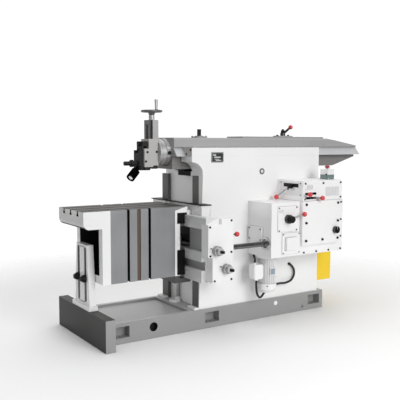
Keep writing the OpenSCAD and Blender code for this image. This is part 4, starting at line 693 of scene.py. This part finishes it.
def spin_into(bm, profile, place, steps, hexagon_rings=()):
    """Adds a turned form: profile is (radius, height) from one end to the other."""
    rings = []
    for i, (radius, height) in enumerate(profile):
        if radius < ON_AXIS:
            rings.append([bm.verts.new(place @ Vector((0, 0, height)))])
            continue
        ring = []
        for k in range(steps):
            angle = 2 * math.pi * k / steps
            reach = radius
            if i in hexagon_rings:
                reach = radius / math.cos((angle % (math.pi / 3)) - math.pi / 6)
            ring.append(bm.verts.new(
                place @ Vector((reach * math.cos(angle), reach * math.sin(angle), height))))
        rings.append(ring)
    for a, b in zip(rings, rings[1:]):
        for k in range(steps):
            m = (k + 1) % steps
            if len(a) == 1:
                bm.faces.new((a[0], b[k], b[m]))
            elif len(b) == 1:
                bm.faces.new((a[k], a[m], b[0]))
            else:
                bm.faces.new((a[k], a[m], b[m], b[k]))


def turned(name, profile, at, axis, material, body="frame", steps=48):
    """A turned piece on an axis, with its profile as (radius, height)."""
    bm = bmesh.new()
    spin_into(bm, profile, Matrix.Translation(at) @ facing(axis), steps)
    return keep(name, mesh_of(bm, name), material, body)


def cast_block(name, low, high, rounding, material, body="frame", segments=3):
    """A block between two corners, with rounded edges."""
    bm = bmesh.new()
    bmesh.ops.create_cube(bm, size=1)
    low, high = Vector(low), Vector(high)
    for vert in bm.verts:
        vert.co = (low + high) / 2 + Vector(a * b for a, b in zip(vert.co, high - low))
    bmesh.ops.bevel(bm, geom=list(bm.edges), offset=rounding, segments=segments, profile=0.5,
                    affect="EDGES")
    return keep(name, mesh_of(bm, name), material, body)


print("turned pieces and blocks ready")

# %% Outlines, sheets and plates
def outline_ring(radius, centre=(0, 0), count=48):
    """A circle, for a round hole."""
    return [(centre[0] + radius * math.cos(2 * math.pi * k / count),
             centre[1] + radius * math.sin(2 * math.pi * k / count)) for k in range(count)]


ARC_STEPS = 6


def outline_box(x0, x1, y0, y1, corner=0.0):
    """A rectangle, with its corners rounded by short arcs."""
    if not corner:
        return [(x0, y0), (x1, y0), (x1, y1), (x0, y1)]
    points = []
    for cx, cy, start in ((x1 - corner, y0 + corner, -90), (x1 - corner, y1 - corner, 0),
                          (x0 + corner, y1 - corner, 90), (x0 + corner, y0 + corner, 180)):
        for k in range(ARC_STEPS + 1):
            angle = math.radians(start + 90 / ARC_STEPS * k)
            points.append((cx + corner * math.cos(angle), cy + corner * math.sin(angle)))
    return points


# Flat outlines are drawn in the plane that the operator sees: X and Z on the near side, X and
# Y on top, and on the left side Z with Y counted towards the operator.
PLANES = {
    "near": lambda y: Matrix(((1, 0, 0, 0), (0, 0, -1, y), (0, 1, 0, 0), (0, 0, 0, 1))),
    "left": lambda x: Matrix(((0, 0, -1, x), (-1, 0, 0, 0), (0, 1, 0, 0), (0, 0, 0, 1))),
    "top": lambda z: Matrix(((1, 0, 0, 0), (0, 1, 0, 0), (0, 0, 1, z), (0, 0, 0, 1))),
}


def sheet(name, outlines, side, level, thickness, material, body="frame", edge=0.0004):
    """Sheet metal on one side of the machine: the first outline is cut by the others."""
    curve = bpy.data.curves.new(name, "CURVE")
    curve.dimensions = "2D"
    curve.fill_mode = "BOTH"
    curve.extrude = max(thickness / 2 - edge, 0.0001)
    curve.bevel_depth = edge
    curve.bevel_resolution = 1
    curve.offset = -edge
    for outline in outlines:
        spline = curve.splines.new("POLY")
        spline.points.add(len(outline) - 1)
        for point, (a, b) in zip(spline.points, outline):
            point.co = (a, b, 0, 1)
        spline.use_cyclic_u = True
    draft = bpy.data.objects.new(name + "_draft", curve)
    scene.collection.objects.link(draft)
    bpy.context.view_layer.update()
    mesh = bpy.data.meshes.new_from_object(
        draft.evaluated_get(bpy.context.evaluated_depsgraph_get()))
    bpy.data.objects.remove(draft)
    mesh.materials.clear()
    mesh.transform(PLANES[side](level) @ Matrix.Translation((0, 0, thickness / 2)))
    mesh.name = name
    return keep(name, mesh, material, body)


def plate(name, box, level, thickness, material, body="frame", side="near", corner=0.0, edge=0.0004):
    """A flat rectangular plate, label or line; the box is low and high along both ways."""
    return sheet(name, [outline_box(*box, corner)], side, level, thickness, material, body, edge)


print("sheets lie on the sides", list(PLANES))

# %% Screws and graduations
# The head of a screw as (radius, height) for a head one wide; two of its rings are hexagons.
SCREW_HEAD = [(0.5, 0.0), (0.5, 0.34), (0.44, 0.42), (0.30, 0.42), (0.25, 0.41), (0.25, 0.16),
              (0.0, 0.14)]
SOCKET_RINGS = (4, 5)


def socket_screws(name, places, axis, size, body="frame", material=BLACK_OXIDE_AND_SHADE):
    """Socket-head screws as one piece: each head has a chamfer and a hexagon socket."""
    bm = bmesh.new()
    for at in places:
        spin_into(bm, [(r * size, h * size) for r, h in SCREW_HEAD],
                  Matrix.Translation(at) @ facing(axis), 24, SOCKET_RINGS)
    return keep(name, mesh_of(bm, name), material, body)


SHORT_MARK = 0.6


def tick_ring(name, at, axis, radius, length, count, long_every, material, body, width=0.0005,
              raised=0.0002, inward=False):
    """Graduations: fine strips along a turned rim, or across a flat dial when inward."""
    bm = bmesh.new()
    place = Matrix.Translation(at) @ facing(axis)
    for k in range(count):
        turn = place @ Matrix.Rotation(2 * math.pi * k / count, 4, "Z")
        reach = length * (1.0 if k % long_every == 0 else SHORT_MARK)
        size = (reach, width, raised) if inward else (raised, width, reach)
        centre = Vector((radius + (reach / 2 if inward else 0), 0, 0 if inward else reach / 2))
        made = bmesh.ops.create_cube(bm, size=1)
        for vert in made["verts"]:
            vert.co = turn @ (centre + Vector(a * b for a, b in zip(vert.co, size)))
    return keep(name, mesh_of(bm, name), material, body)


# Directions, and the faces of the castings that carry small pieces
NEAR, LEFT, UP = (0, -1, 0), (-1, 0, 0), (0, 0, 1)
COLUMN_FACE, BASE_FACE, FEED_FACE = -0.238, -0.252, -0.488
FEED_LEFT, CONTROL_FACE, CONTROL_LEFT, END_FACE = 0.187, -0.500, 0.450, -0.470
print("builders ready")

# %% [markdown]
# ## Plates, sight glass and plugs
# The column carries one dark plate and an oil sight; the base has two plugs.  The plate is
# left bare: a raised rim, pale fields and four rivets say what it is.

# %% Column and base details
PLATE_THICK = 0.002
ON_PLATE = COLUMN_FACE - PLATE_THICK
plate("column_plate", (-0.122, -0.025, 1.103, 1.170), COLUMN_FACE, PLATE_THICK, PLATE_DARK, corner=0.004)
sheet("column_plate_rim", [outline_box(-0.1205, -0.0265, 1.1045, 1.1685, 0.004),
                           outline_box(-0.1155, -0.0315, 1.1095, 1.1635, 0.003)],
      "near", ON_PLATE, 0.0012, DIAL_GREY)
PLATE_FIELDS = ((-0.108, -0.086, 1.148, 1.156), (-0.101, -0.048, 1.134, 1.141),
                (-0.096, -0.060, 1.123, 1.1265), (-0.088, -0.044, 1.114, 1.119))
for i, box in enumerate(PLATE_FIELDS):
    plate(f"column_plate_field_{i}", box, ON_PLATE, 0.0006, PLATE_PALE, corner=0.001, edge=0.0002)
RIVET = [(0.0025, 0.0), (0.0023, 0.0009), (0.0014, 0.0016), (0.0, 0.0018)]
for i, (x, z) in enumerate(((-0.118, 1.107), (-0.029, 1.107), (-0.029, 1.166), (-0.118, 1.166))):
    turned(f"column_plate_rivet_{i}", RIVET, (x, ON_PLATE, z), NEAR, CHROME, steps=20)
SIGHT_AT = (0.302, COLUMN_FACE, 1.036)
turned("oil_sight_ring", [(0.0, 0.0), (0.0205, 0.0), (0.0205, 0.004), (0.019, 0.0055),
                          (0.0135, 0.0055), (0.0125, 0.0045), (0.0125, 0.0022), (0.0, 0.0022)],
       SIGHT_AT, NEAR, WHEEL_STEEL)
turned("oil_sight_glass", [(0.0122, 0.0022), (0.0122, 0.0034), (0.009, 0.0046), (0.0, 0.005)],
       SIGHT_AT, NEAR, PLATE_PALE)
turned("base_plug", [(0.0, 0.0), (0.0155, 0.0), (0.0155, 0.003), (0.013, 0.0045), (0.0, 0.005)],
       (0.426, BASE_FACE, 0.092), NEAR, WHITE)
socket_screws("drain_plug", [(0.682, BASE_FACE, 0.032)], NEAR, 0.018, material=DIAL_GREY)
TRAY_LEVEL = 0.1331
for tag, y0, y1 in (("near", -0.247, -0.150), ("far", 0.150, 0.247)):
    plate(f"way_foot_{tag}", (-0.258, -0.2225, y0, y1), TRAY_LEVEL, 0.014, WHITE, side="top",
          corner=0.006, edge=0.002)
print("column and base details")

# %% [markdown]
# ## Feed box, control box and motor
# These carry what the operator reads and turns: a dial with marks round it, plates, screws
# and a black gate for the gear lever.  A dark joint line runs round each plate, where it
# meets the casting.

# %% Joint lines
LINE_THICK, LINE_EDGE = 0.0005, 0.0001
PLATE_FRONT = FEED_FACE - 0.005


def joint_line(name, x0, x1, z0, z1, side, level, width=0.0016):
    """The dark line that runs round a plate where it meets the casting."""
    return sheet(name, [outline_box(x0 - width, x1 + width, z0 - width, z1 + width, 0.003),
                        outline_box(x0, x1, z0, z1, 0.002)], side, level, LINE_THICK, SEAM,
                 edge=LINE_EDGE)


joint_line("dial_plate_line", 0.239, 0.409, 0.642, 0.812, "near", FEED_FACE)
joint_line("index_plate_line", 0.278, 0.4318, 0.4878, 0.6322, "near", FEED_FACE)
joint_line("index_block_line", 0.3008, 0.4027, 0.5175, 0.6025, "near", PLATE_FRONT)
joint_line("side_plate_line", 0.256, 0.399, 0.572, 0.668, "left", FEED_LEFT)
COVER_TOP = 0.838
cover_path = [(0.4322, COVER_TOP), (0.4322, 0.5362), (0.7818, 0.5362), (0.7818, COVER_TOP),
              (0.780, COVER_TOP), (0.780, 0.538), (0.434, 0.538), (0.434, COVER_TOP)]
sheet("cover_line", [cover_path], "near", FEED_FACE, LINE_THICK, SEAM, edge=LINE_EDGE)
for tag, low, high, level in (("near", 0.452, 0.813, CONTROL_FACE), ("left", 0.240, 0.498, CONTROL_LEFT)):
    plate(f"control_line_{tag}", (low, high, 0.8385, 0.8402), level, LINE_THICK, SEAM, side=tag,
          edge=LINE_EDGE)
print("joint lines")

# %% Feed box details
DIAL_X, DIAL_Z, DIAL_SCREW_REACH = 0.324, 0.727, 0.076
turned("feed_lever_cap", [(0.0, 0.0), (0.0235, 0.0), (0.0235, 0.027), (0.0205, 0.032), (0.008, 0.033),
                          (0.0, 0.0325)], (DIAL_X, FEED_FACE - 0.026, DIAL_Z), NEAR, BLACK_OXIDE_AND_SHADE,
       "feed_lever", 40)
SIDE_PLATE_FACE = FEED_LEFT - 0.012
cast_block("feed_side_plate", (SIDE_PLATE_FACE, -0.399, 0.572), (FEED_LEFT, -0.256, 0.668), 0.003, WHITE)
socket_screws("feed_side_screws",
              [(SIDE_PLATE_FACE, y, z) for y in (-0.268, -0.388) for z in (0.584, 0.657)], LEFT, 0.010)
FLANGE_FACE, FLANGE_Y, FLANGE_Z, FLANGE_RING = FEED_LEFT - 0.014, -0.438, 0.566, 0.0375
socket_screws("shaft_flange_screws",
              [(FLANGE_FACE, FLANGE_Y + FLANGE_RING * math.cos(math.radians(a)),
                FLANGE_Z + FLANGE_RING * math.sin(math.radians(a))) for a in (45, 135, 225, 315)],
              LEFT, 0.007, material=DIAL_GREY)
socket_screws("dial_plate_screws",
              [(DIAL_X + sx * DIAL_SCREW_REACH, PLATE_FRONT, DIAL_Z + sz * DIAL_SCREW_REACH)
               for sx in (-1, 1) for sz in (-1, 1)], NEAR, 0.009)
plate("dial_plate_label", (0.246, 0.290, 0.770, 0.792), PLATE_FRONT, 0.0008, PLATE_PALE, corner=0.002,
      edge=0.0002)
tick_ring("dial_plate_marks", (DIAL_X, PLATE_FRONT - 0.0003, DIAL_Z), NEAR, 0.046, 0.008, 8, 2,
          DIAL_GREY, "frame", width=0.0014, raised=0.0006, inward=True)
socket_screws("index_plate_screws",
              [(x, PLATE_FRONT, z) for z in (0.624, 0.497) for x in (0.286, 0.424)], NEAR, 0.008)
plate("selector_label", (0.700, 0.730, 0.668, 0.682), FEED_FACE - 0.025, 0.0008, DIAL_GREY,
      corner=0.002, edge=0.0002)
cast_block("selector_pointer", (0.7365, -0.5405, 0.632), (0.7395, -0.5398, 0.650), 0.0003, PLATE_PALE,
           "selector_knob", segments=1)
print("feed box details")

# %% Control box details
GATE_PLATE = 0.0012
GATE_LOW, GATE_MID, GATE_TOP = 0.906, 0.930, 0.955
gate_path = [(0.300, GATE_MID), (0.340, GATE_MID), (0.340, GATE_LOW), (0.352, GATE_LOW),
             (0.352, GATE_MID), (0.398, GATE_MID), (0.398, GATE_LOW), (0.410, GATE_LOW),
             (0.410, GATE_MID), (0.452, GATE_MID), (0.452, GATE_TOP), (0.300, GATE_TOP)]
gate_hole = outline_ring(0.0175, (-GEAR_HUB[1], GEAR_HUB[2]))
sheet("gear_gate", [gate_path, gate_hole], "left", CONTROL_LEFT - GATE_PLATE, GATE_PLATE, BLACK_OXIDE_AND_SHADE,
      edge=0.0003)
sheet("gear_gate_plate", [outline_box(0.262, 0.484, 0.872, 0.967, 0.004), gate_hole], "left",
      CONTROL_LEFT, GATE_PLATE, PLATE_PALE, edge=0.0003)
socket_screws("gear_gate_screws",
              [(CONTROL_LEFT - GATE_PLATE, y, z) for y in (-0.272, -0.474) for z in (0.880, 0.959)],
              LEFT, 0.008)
SPEED_THICK = 0.001
ON_SPEED_PLATE = CONTROL_FACE - SPEED_THICK
for name, box in (("speed_plate_upper", (0.484, 0.536, 0.914, 0.950)),
                  ("speed_table_plate", (0.656, 0.782, 0.866, 0.930))):
    plate(name, box, CONTROL_FACE, SPEED_THICK, PLATE_PALE, corner=0.003, edge=0.0003)
RULE = 0.0007
ruled = [(0.660, 0.778, z, z + RULE) for z in (0.872, 0.883, 0.894, 0.905, 0.916, 0.925)]
ruled += [(x, x + RULE, 0.872, 0.9257) for x in (0.660, 0.690, 0.720, 0.749, 0.7773)]
marks = [(0.488, 0.508, 0.935, 0.9365), (0.488, 0.4895, 0.922, 0.935),
         (0.512, 0.532, 0.927, 0.9285), (0.5305, 0.532, 0.927, 0.942)]
for tag, boxes, finish in (("table", ruled, HANDLE_STEEL), ("plate", marks, DIAL_GREY)):
    for i, box in enumerate(boxes):
        plate(f"speed_{tag}_line_{i}", box, ON_SPEED_PLATE, 0.0003, finish, edge=LINE_EDGE)
turned("stop_collar", [(0.0185, 0.0), (0.0185, 0.0022), (0.016, 0.0035), (0.0098, 0.0035),
                       (0.0098, 0.0), (0.0185, 0.0)], (0.755, -0.410, 1.048), UP, PLATE_PALE)
socket_screws("stop_box_screws", [(x, -0.448, z) for x in (0.730, 0.780) for z in (0.983, 1.040)],
              NEAR, 0.006, material=PLATE_PALE)
turned("stop_gland", [(0.0, 0.0), (0.0055, 0.0), (0.0055, 0.004), (0.004, 0.0055), (0.004, 0.009),
                      (0.0, 0.0095)], (0.724, -0.436, 1.012), LEFT, BLACK_PLASTIC, steps=20)
socket_screws("control_corner_screw", [(0.463, CONTROL_FACE, 0.850)], NEAR, 0.009)
print("control box details")

# %% Feed motor details
MOTOR_PAD, MOTOR_PLATE = -0.4232, 0.0012
plate("motor_plate", (0.232, 0.280, 0.340, 0.396), MOTOR_PAD, MOTOR_PLATE, PLATE_PALE, corner=0.003,
      edge=0.0003)
plate("motor_plate_field", (0.238, 0.274, 0.348, 0.388), MOTOR_PAD - MOTOR_PLATE, 0.0004, PLATE_BLUE,
      corner=0.002, edge=0.0001)
COWL_RADIUS, COWL_SCREW_Z = 0.0655, 0.268
for name, turn in (("cowl_screws", -35), ("cowl_screws_right", 55)):
    outward = (math.sin(math.radians(turn)), -math.cos(math.radians(turn)), 0)
    socket_screws(name, [(MOTOR_AT[0] + COWL_RADIUS * outward[0], MOTOR_AT[1] + COWL_RADIUS * outward[1],
                          COWL_SCREW_Z)], outward, 0.008)
LID_FACE = 0.125
cast_block("terminal_lid", (LID_FACE, -0.3895, 0.321), (0.130, -0.3305, 0.415), 0.0018, WHITE)
socket_screws("terminal_screws", [(LID_FACE, y, z) for y in (-0.383, -0.337) for z in (0.329, 0.407)],
              LEFT, 0.006, material=STEEL)
print("motor details")

# %% [markdown]
# ## Rail, dials and tool head
# The two dials are read by turning them past a zero mark, so fine strips stand on their rims.
# The head has a degree scale on its ring and screws in its side.

# %% Rail and dials
socket_screws("end_box_screws",
              [(x, END_FACE, z) for x, z in ((-0.288, 0.711), (-0.1245, 0.745), (-0.124, 0.544),
                                             (-0.285, 0.530), (-0.252, 0.369), (-0.123, 0.369))],
              NEAR, 0.013, "rail")
ZERO_PLATE = 0.0025
for tag, body, x, z in (("cross", "cross_screw", -0.240, 0.561), ("lift", "lift_dial", -0.167, 0.441)):
    tick_ring(f"{tag}_dial_marks", (x, -0.497, z), (0, 1, 0), 0.0320, 0.009, 50, 5, DARK_STEEL, body)
    turned(f"{tag}_dial_lock", [(0.0, 0.0), (0.0225, 0.0), (0.0225, 0.006), (0.021, 0.0075),
                                (0.0, 0.0075)], (x, -0.5185, z), NEAR, DIAL_FACE, body)
    plate(f"{tag}_zero_plate", (x - 0.052, x - 0.034, z - 0.014, z + 0.024), END_FACE, ZERO_PLATE,
          PLATE_PALE, "rail", corner=0.003)
    turned(f"{tag}_zero_pin", [(0.003, 0.0), (0.003, 0.014), (0.0024, 0.016), (0.0, 0.0165)],
           (x - 0.041, END_FACE - ZERO_PLATE, z + 0.017), NEAR, BLACK_OXIDE_AND_SHADE, "rail", 20)
# A near-black sheet behind the rail's window: painted shade where the column shows through the window.
plate("rail_window_shade_sheet", (-0.208, 0.208, 0.547, 0.679), -0.2212, 0.0010, BLACK_OXIDE_AND_SHADE, "rail", "left",
      corner=0.004, edge=0.0002)
SADDLE_WALL, WIPER_FRONT, WIPER_BACK = -0.197, -0.360, -0.3025
plate("saddle_wiper_low", (WIPER_FRONT, WIPER_BACK, 0.372, 0.5365), SADDLE_WALL, 0.002, BLACK_PLASTIC,
      "table")
high_wiper = [(WIPER_FRONT, 0.709), (WIPER_BACK, 0.709), (WIPER_BACK, 0.7655), (-0.287, 0.7655),
              (-0.287, 0.780), (WIPER_FRONT, 0.780)]
sheet("saddle_wiper_high", [high_wiper], "near", SADDLE_WALL, 0.002, BLACK_PLASTIC, "table")
print("rail details")

# %% Tool head
tick_ring("head_scale", (-0.4045, 0, HEAD_Z), (1, 0, 0), 0.0880, 0.012, 120, 5, DARK_STEEL, "head",
          width=0.0008)
turned("ring_slot_nut", [(0.0, 0.0), (0.013, 0.0), (0.013, 0.004), (0.011, 0.006), (0.0, 0.006)],
       (-0.354, -0.0905, 1.166), NEAR, BLACK_OXIDE_AND_SHADE, "ram", 24)
socket_screws("slide_screws", [(-0.498, -0.055, 1.171), (-0.510, -0.055, 1.111)], NEAR, 0.014,
              "tool_slide")
cast_block("slide_foot", (-0.516, -0.050, 1.053), (-0.4725, 0.050, 1.0738), 0.004, BLACK_IRON_AND_SHADE,
           "tool_slide")
cast_block("bar_foot", (-0.4555, -0.047, 1.0615), (-0.4165, 0.047, 1.0838), 0.004, BLACK_IRON_AND_SHADE, "head")
socket_screws("bar_screws", [(-0.428, -0.052, 1.173)], NEAR, 0.014, "head")
socket_screws("nose_screws", [(-0.273, side * y, z) for side in (-1, 1)
                              for y, z in ((0.222, 1.186), (0.1725, 1.160))], LEFT, 0.011)
BOLT_CAP = [(0.024, 0.0), (0.024, 0.004), (0.017, 0.016), (0.015, 0.022), (0.0, 0.024)]
for i, y in enumerate((-0.042, 0.062)):
    turned(f"support_bolt_cap_{i}", BOLT_CAP, (-0.9452, y, 0.388), LEFT, BLACK_OXIDE_AND_SHADE, "table", 32)
print("head details")

# %% Plates and clamp on the ram
RAM_TOP, STRIP_TOP, POSITION_X, CLAMP_X = 1.266, 1.277, -0.063, 0.689
sheet("position_plate", [outline_box(-0.104, -0.022, -0.042, 0.042, 0.005),
                         outline_ring(0.0312, (POSITION_X, 0.0))], "top", RAM_TOP, 0.010, RAM_GREY,
      "ram", edge=0.001)
socket_screws("position_plate_screws",
              [(x, y, RAM_TOP + 0.010) for x in (-0.097, -0.029) for y in (-0.035, 0.035)], UP, 0.010,
              "ram")
sheet("clamp_plate", [outline_box(0.622, 0.756, -0.038, 0.038, 0.006),
                      outline_ring(0.0212, (CLAMP_X, 0.0))], "top", STRIP_TOP, 0.008, RAM_GREY, "ram",
      edge=0.001)
socket_screws("clamp_plate_screws", [(x, 0.0, STRIP_TOP + 0.008) for x in (0.636, 0.742)], UP, 0.018,
              "ram")
CLAMP_HUB, ROD_DROP = Vector((CLAMP_X, 0.0, 1.3074)), Vector((0.0, 0.0, 0.010))
turned("ram_clamp_nut", [(0.0, 0.0), (0.016, 0.0), (0.016, 0.016), (0.013, 0.019), (0.0085, 0.019),
                         (0.0085, 0.026), (0.007, 0.0275), (0.0, 0.028)], CLAMP_HUB, UP, BLACK_OXIDE_AND_SHADE,
       "ram_clamp", 6)
clamp_rod = Vector(BALLS["ram_clamp_lever"]) - CLAMP_HUB + ROD_DROP
turned("ram_clamp_grip", [(0.0051, 0.0), (0.0085, 0.002), (0.0085, 0.045), (0.0065, 0.048),
                          (0.0051, 0.048), (0.0051, 0.0)],
       CLAMP_HUB - ROD_DROP + clamp_rod.normalized() * 0.024, clamp_rod, BLACK_OXIDE_AND_SHADE, "ram_clamp", 24)
print("ram details")

# %% Lens and bezel of the lamp
LAMP_AT, LAMP_TILT, LAMP_TURN = Vector((-0.566, -0.056, 1.072)), math.radians(51), math.radians(22.5)
LAMP_AXIS = Vector((-math.sin(LAMP_TILT) * math.cos(LAMP_TURN),
                    -math.sin(LAMP_TILT) * math.sin(LAMP_TURN), -math.cos(LAMP_TILT)))
lamp_glass, lamp_tree, lamp_shader = start_material("lamp_lens")
lens_rings = use(lamp_tree, PLANED_LINES, Colour=grey(0.85), Lines_Per_Metre=(90.0, 90.0, 90.0),
                 Contrast=0.5, Roughness=0.15, Stain=0.2)
lens_colour = lens_rings.outputs["Colour"]
feed(lamp_tree, lamp_shader, {"Base Color": lens_colour, "Emission Color": lens_colour})
for socket, value in (("Metallic", 0.2), ("Emission Strength", 0.35), ("Roughness", 0.15)):
    lamp_shader.inputs[socket].default_value = value
turned("lamp_reflector", [(0.0, 0.0), (0.0200, 0.0), (0.0200, 0.024), (0.0185, 0.0255),
                          (0.0165, 0.024), (0.010, 0.018), (0.005, 0.0165), (0.0, 0.016)],
       LAMP_AT + LAMP_AXIS * 0.0713, LAMP_AXIS, lamp_glass, "work_lamp")
turned("lamp_bezel", [(0.0148, 0.0), (0.0200, 0.0), (0.0200, 0.0035), (0.0165, 0.0035), (0.0148, 0.0)],
       LAMP_AT + LAMP_AXIS * 0.0969, LAMP_AXIS, LAMP_BLACK, "work_lamp")
print("lamp details")

# %% [markdown]
# ## Motor cables
# Two rubber cables meet at the terminal box: a short one comes from the feed box, and a long
# one hangs under the fan cowl and ends in the column.  A cable is a fixed length of something
# bendy, so each is one smooth curve through the points of its route.

# %% Cables
# Routes in millimetres: under the cowl to the column, and from the feed box to the terminal box
CABLE_D = 0.015
MILLIMETRES = 1000
LOOP_POINTS = [(170, -356, 305), (170, -356, 262), (178, -354, 214), (204, -346, 182),
               (238, -330, 182), (276, -312, 200), (340, -296, 228), (420, -284, 240),
               (500, -272, 234), (560, -264, 246), (592, -258, 282), (592, -254, 322),
               (572, -250, 350), (560, -246, 360), (560, -222, 360)]
LEAD_POINTS = [(212, -272, 471.5), (212, -272, 458), (200, -296, 444), (172, -338, 440),
               (156, -354, 437), (154, -356, 428)]


def smooth_route(points, pieces=4):
    """Points of a Catmull-Rom curve through the route, in metres."""
    p = [Vector(q) / MILLIMETRES for q in points]
    p = [2 * p[0] - p[1]] + p + [2 * p[-1] - p[-2]]
    made = []
    for a, b, c, d in zip(p, p[1:], p[2:], p[3:]):
        for k in range(pieces):
            t = k / pieces
            made.append(0.5 * (2 * b + (c - a) * t + (2 * a - 5 * b + 4 * c - d) * t * t
                               + (3 * b - a - 3 * c + d) * t ** 3))
    return made + [p[-2]]


def cable(name, points, replaced):
    """A rubber cable along a route, which stands for a CAD node."""
    route = smooth_route(points)
    curve = bpy.data.curves.new(name, "CURVE")
    curve.dimensions = "3D"
    curve.bevel_depth = CABLE_D / 2
    curve.bevel_resolution = 4
    curve.use_fill_caps = True
    spline = curve.splines.new("POLY")
    spline.points.add(len(route) - 1)
    for point, q in zip(spline.points, route):
        point.co = (*q, 1)
    curve.materials.append(RUBBER)
    obj = bpy.data.objects.new(name, curve)
    scene.collection.objects.link(obj)
    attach(obj, "frame")
    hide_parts(replaced)
    return obj


cable("motor_cable_loop", LOOP_POINTS, "motor_cable")
cable("motor_cable_lead", LEAD_POINTS, "motor_cable")

# %% [markdown]
# ## Light and floor
# The photograph is a high-key studio picture: a pale floor, soft light from the operator's
# side, and the faces towards the tool end in gentle shade.

# %% Studio
FLOOR_HALF, FLOOR_DROP, FADE_FROM, FADE_TO = 4.2, 0.0005, 1.2, 3.6
floor_corners = [(x * FLOOR_HALF, y * FLOOR_HALF, 0) for x, y in ((-1, -1), (1, -1), (1, 1), (-1, 1))]
floor_mesh = bpy.data.meshes.new("studio_floor")
floor_mesh.from_pydata(floor_corners, [], [(0, 1, 2, 3)])
floor = bpy.data.objects.new("studio_floor", floor_mesh)
scene.collection.objects.link(floor)
floor.location.z = -FLOOR_DROP
FLOOR_PAINT, floor_tree, floor_shader = start_material("studio_floor_paint")
floor_skin = use(floor_tree, ENAMEL_SKIN, Colour=grey(0.95), Clouds=0.0, Roughness=0.9)
feed(floor_tree, floor_shader, {"Base Color": floor_skin.outputs["Colour"]})
floor_shader.inputs["Roughness"].default_value = 0.9
floor_place = add(floor_tree, "ShaderNodeTexCoord").outputs["Object"]
floor_reach = add(floor_tree, "ShaderNodeVectorMath", {0: floor_place}, operation="LENGTH")
floor_fade = smooth_step(floor_tree, floor_reach.outputs["Value"], FADE_FROM, FADE_TO, 1.0, 0.0)
feed(floor_tree, floor_shader, {"Alpha": floor_fade})
floor_mesh.materials.append(FLOOR_PAINT)
print("floor", 2 * FLOOR_HALF, "metres wide")

# %% Lights
def soft_light(name, at, towards, size, watts, cone=None):
    """A soft box, or with a cone in degrees a small reflector that fills one recess."""
    lamp = bpy.data.lights.new(name, "SPOT" if cone else "AREA")
    lamp.energy = watts
    if cone:
        lamp.spot_size = math.radians(cone)
        lamp.spot_blend = 0.8
        lamp.shadow_soft_size = size
    else:
        lamp.size = size
    obj = bpy.data.objects.new(name, lamp)
    scene.collection.objects.link(obj)
    obj.location = at
    obj.rotation_euler = (Vector(towards) - Vector(at)).to_track_quat("-Z", "Y").to_euler()
    return obj


soft_light("key", (0.3, -5.8, 2.6), (0, 0, 0.7), 3.0, 205)
soft_light("top", (-0.5, 0.3, 5.5), (0, 0, 0.6), 4.0, 105)
soft_light("fill_above_table", (-1.75, -0.10, 0.95), (-0.19, 0.02, 0.93), 0.10, 15, 17)
soft_light("fill_control_box", (-2.5, -0.62, 0.97), (0.45, -0.37, 0.91), 0.10, 65, 7)
soft_light("fill_below_table", (-1.85, -0.75, 0.34), (-0.20, -0.03, 0.23), 0.12, 13, 17)

# %% [markdown]
# ## Backdrop
# The backdrop is white behind the machine and dimmer on the operator's side, so that the
# faces towards the tool end fall into shade.

# %% White backdrop
BEHIND = (0.45, 0.89, 0.0)
DIM, BRIGHT = 0.30, 1.05
world = bpy.data.worlds.new("studio")
scene.world = world
world.use_nodes = True
sky = world.node_tree
heading = add(sky, "ShaderNodeTexCoord").outputs["Generated"]
behind = add(sky, "ShaderNodeVectorMath", {0: heading}, operation="DOT_PRODUCT")
behind.inputs[1].default_value = BEHIND
backdrop = sky.nodes["Background"]
feed(sky, backdrop, {"Strength": smooth_step(sky, behind.outputs["Value"], 0.1, 0.7, DIM, BRIGHT)})
backdrop.inputs["Color"].default_value = (1.0, 1.0, 1.0, 1)
scene.view_settings.view_transform = "Standard"
print("backdrop", world.name)
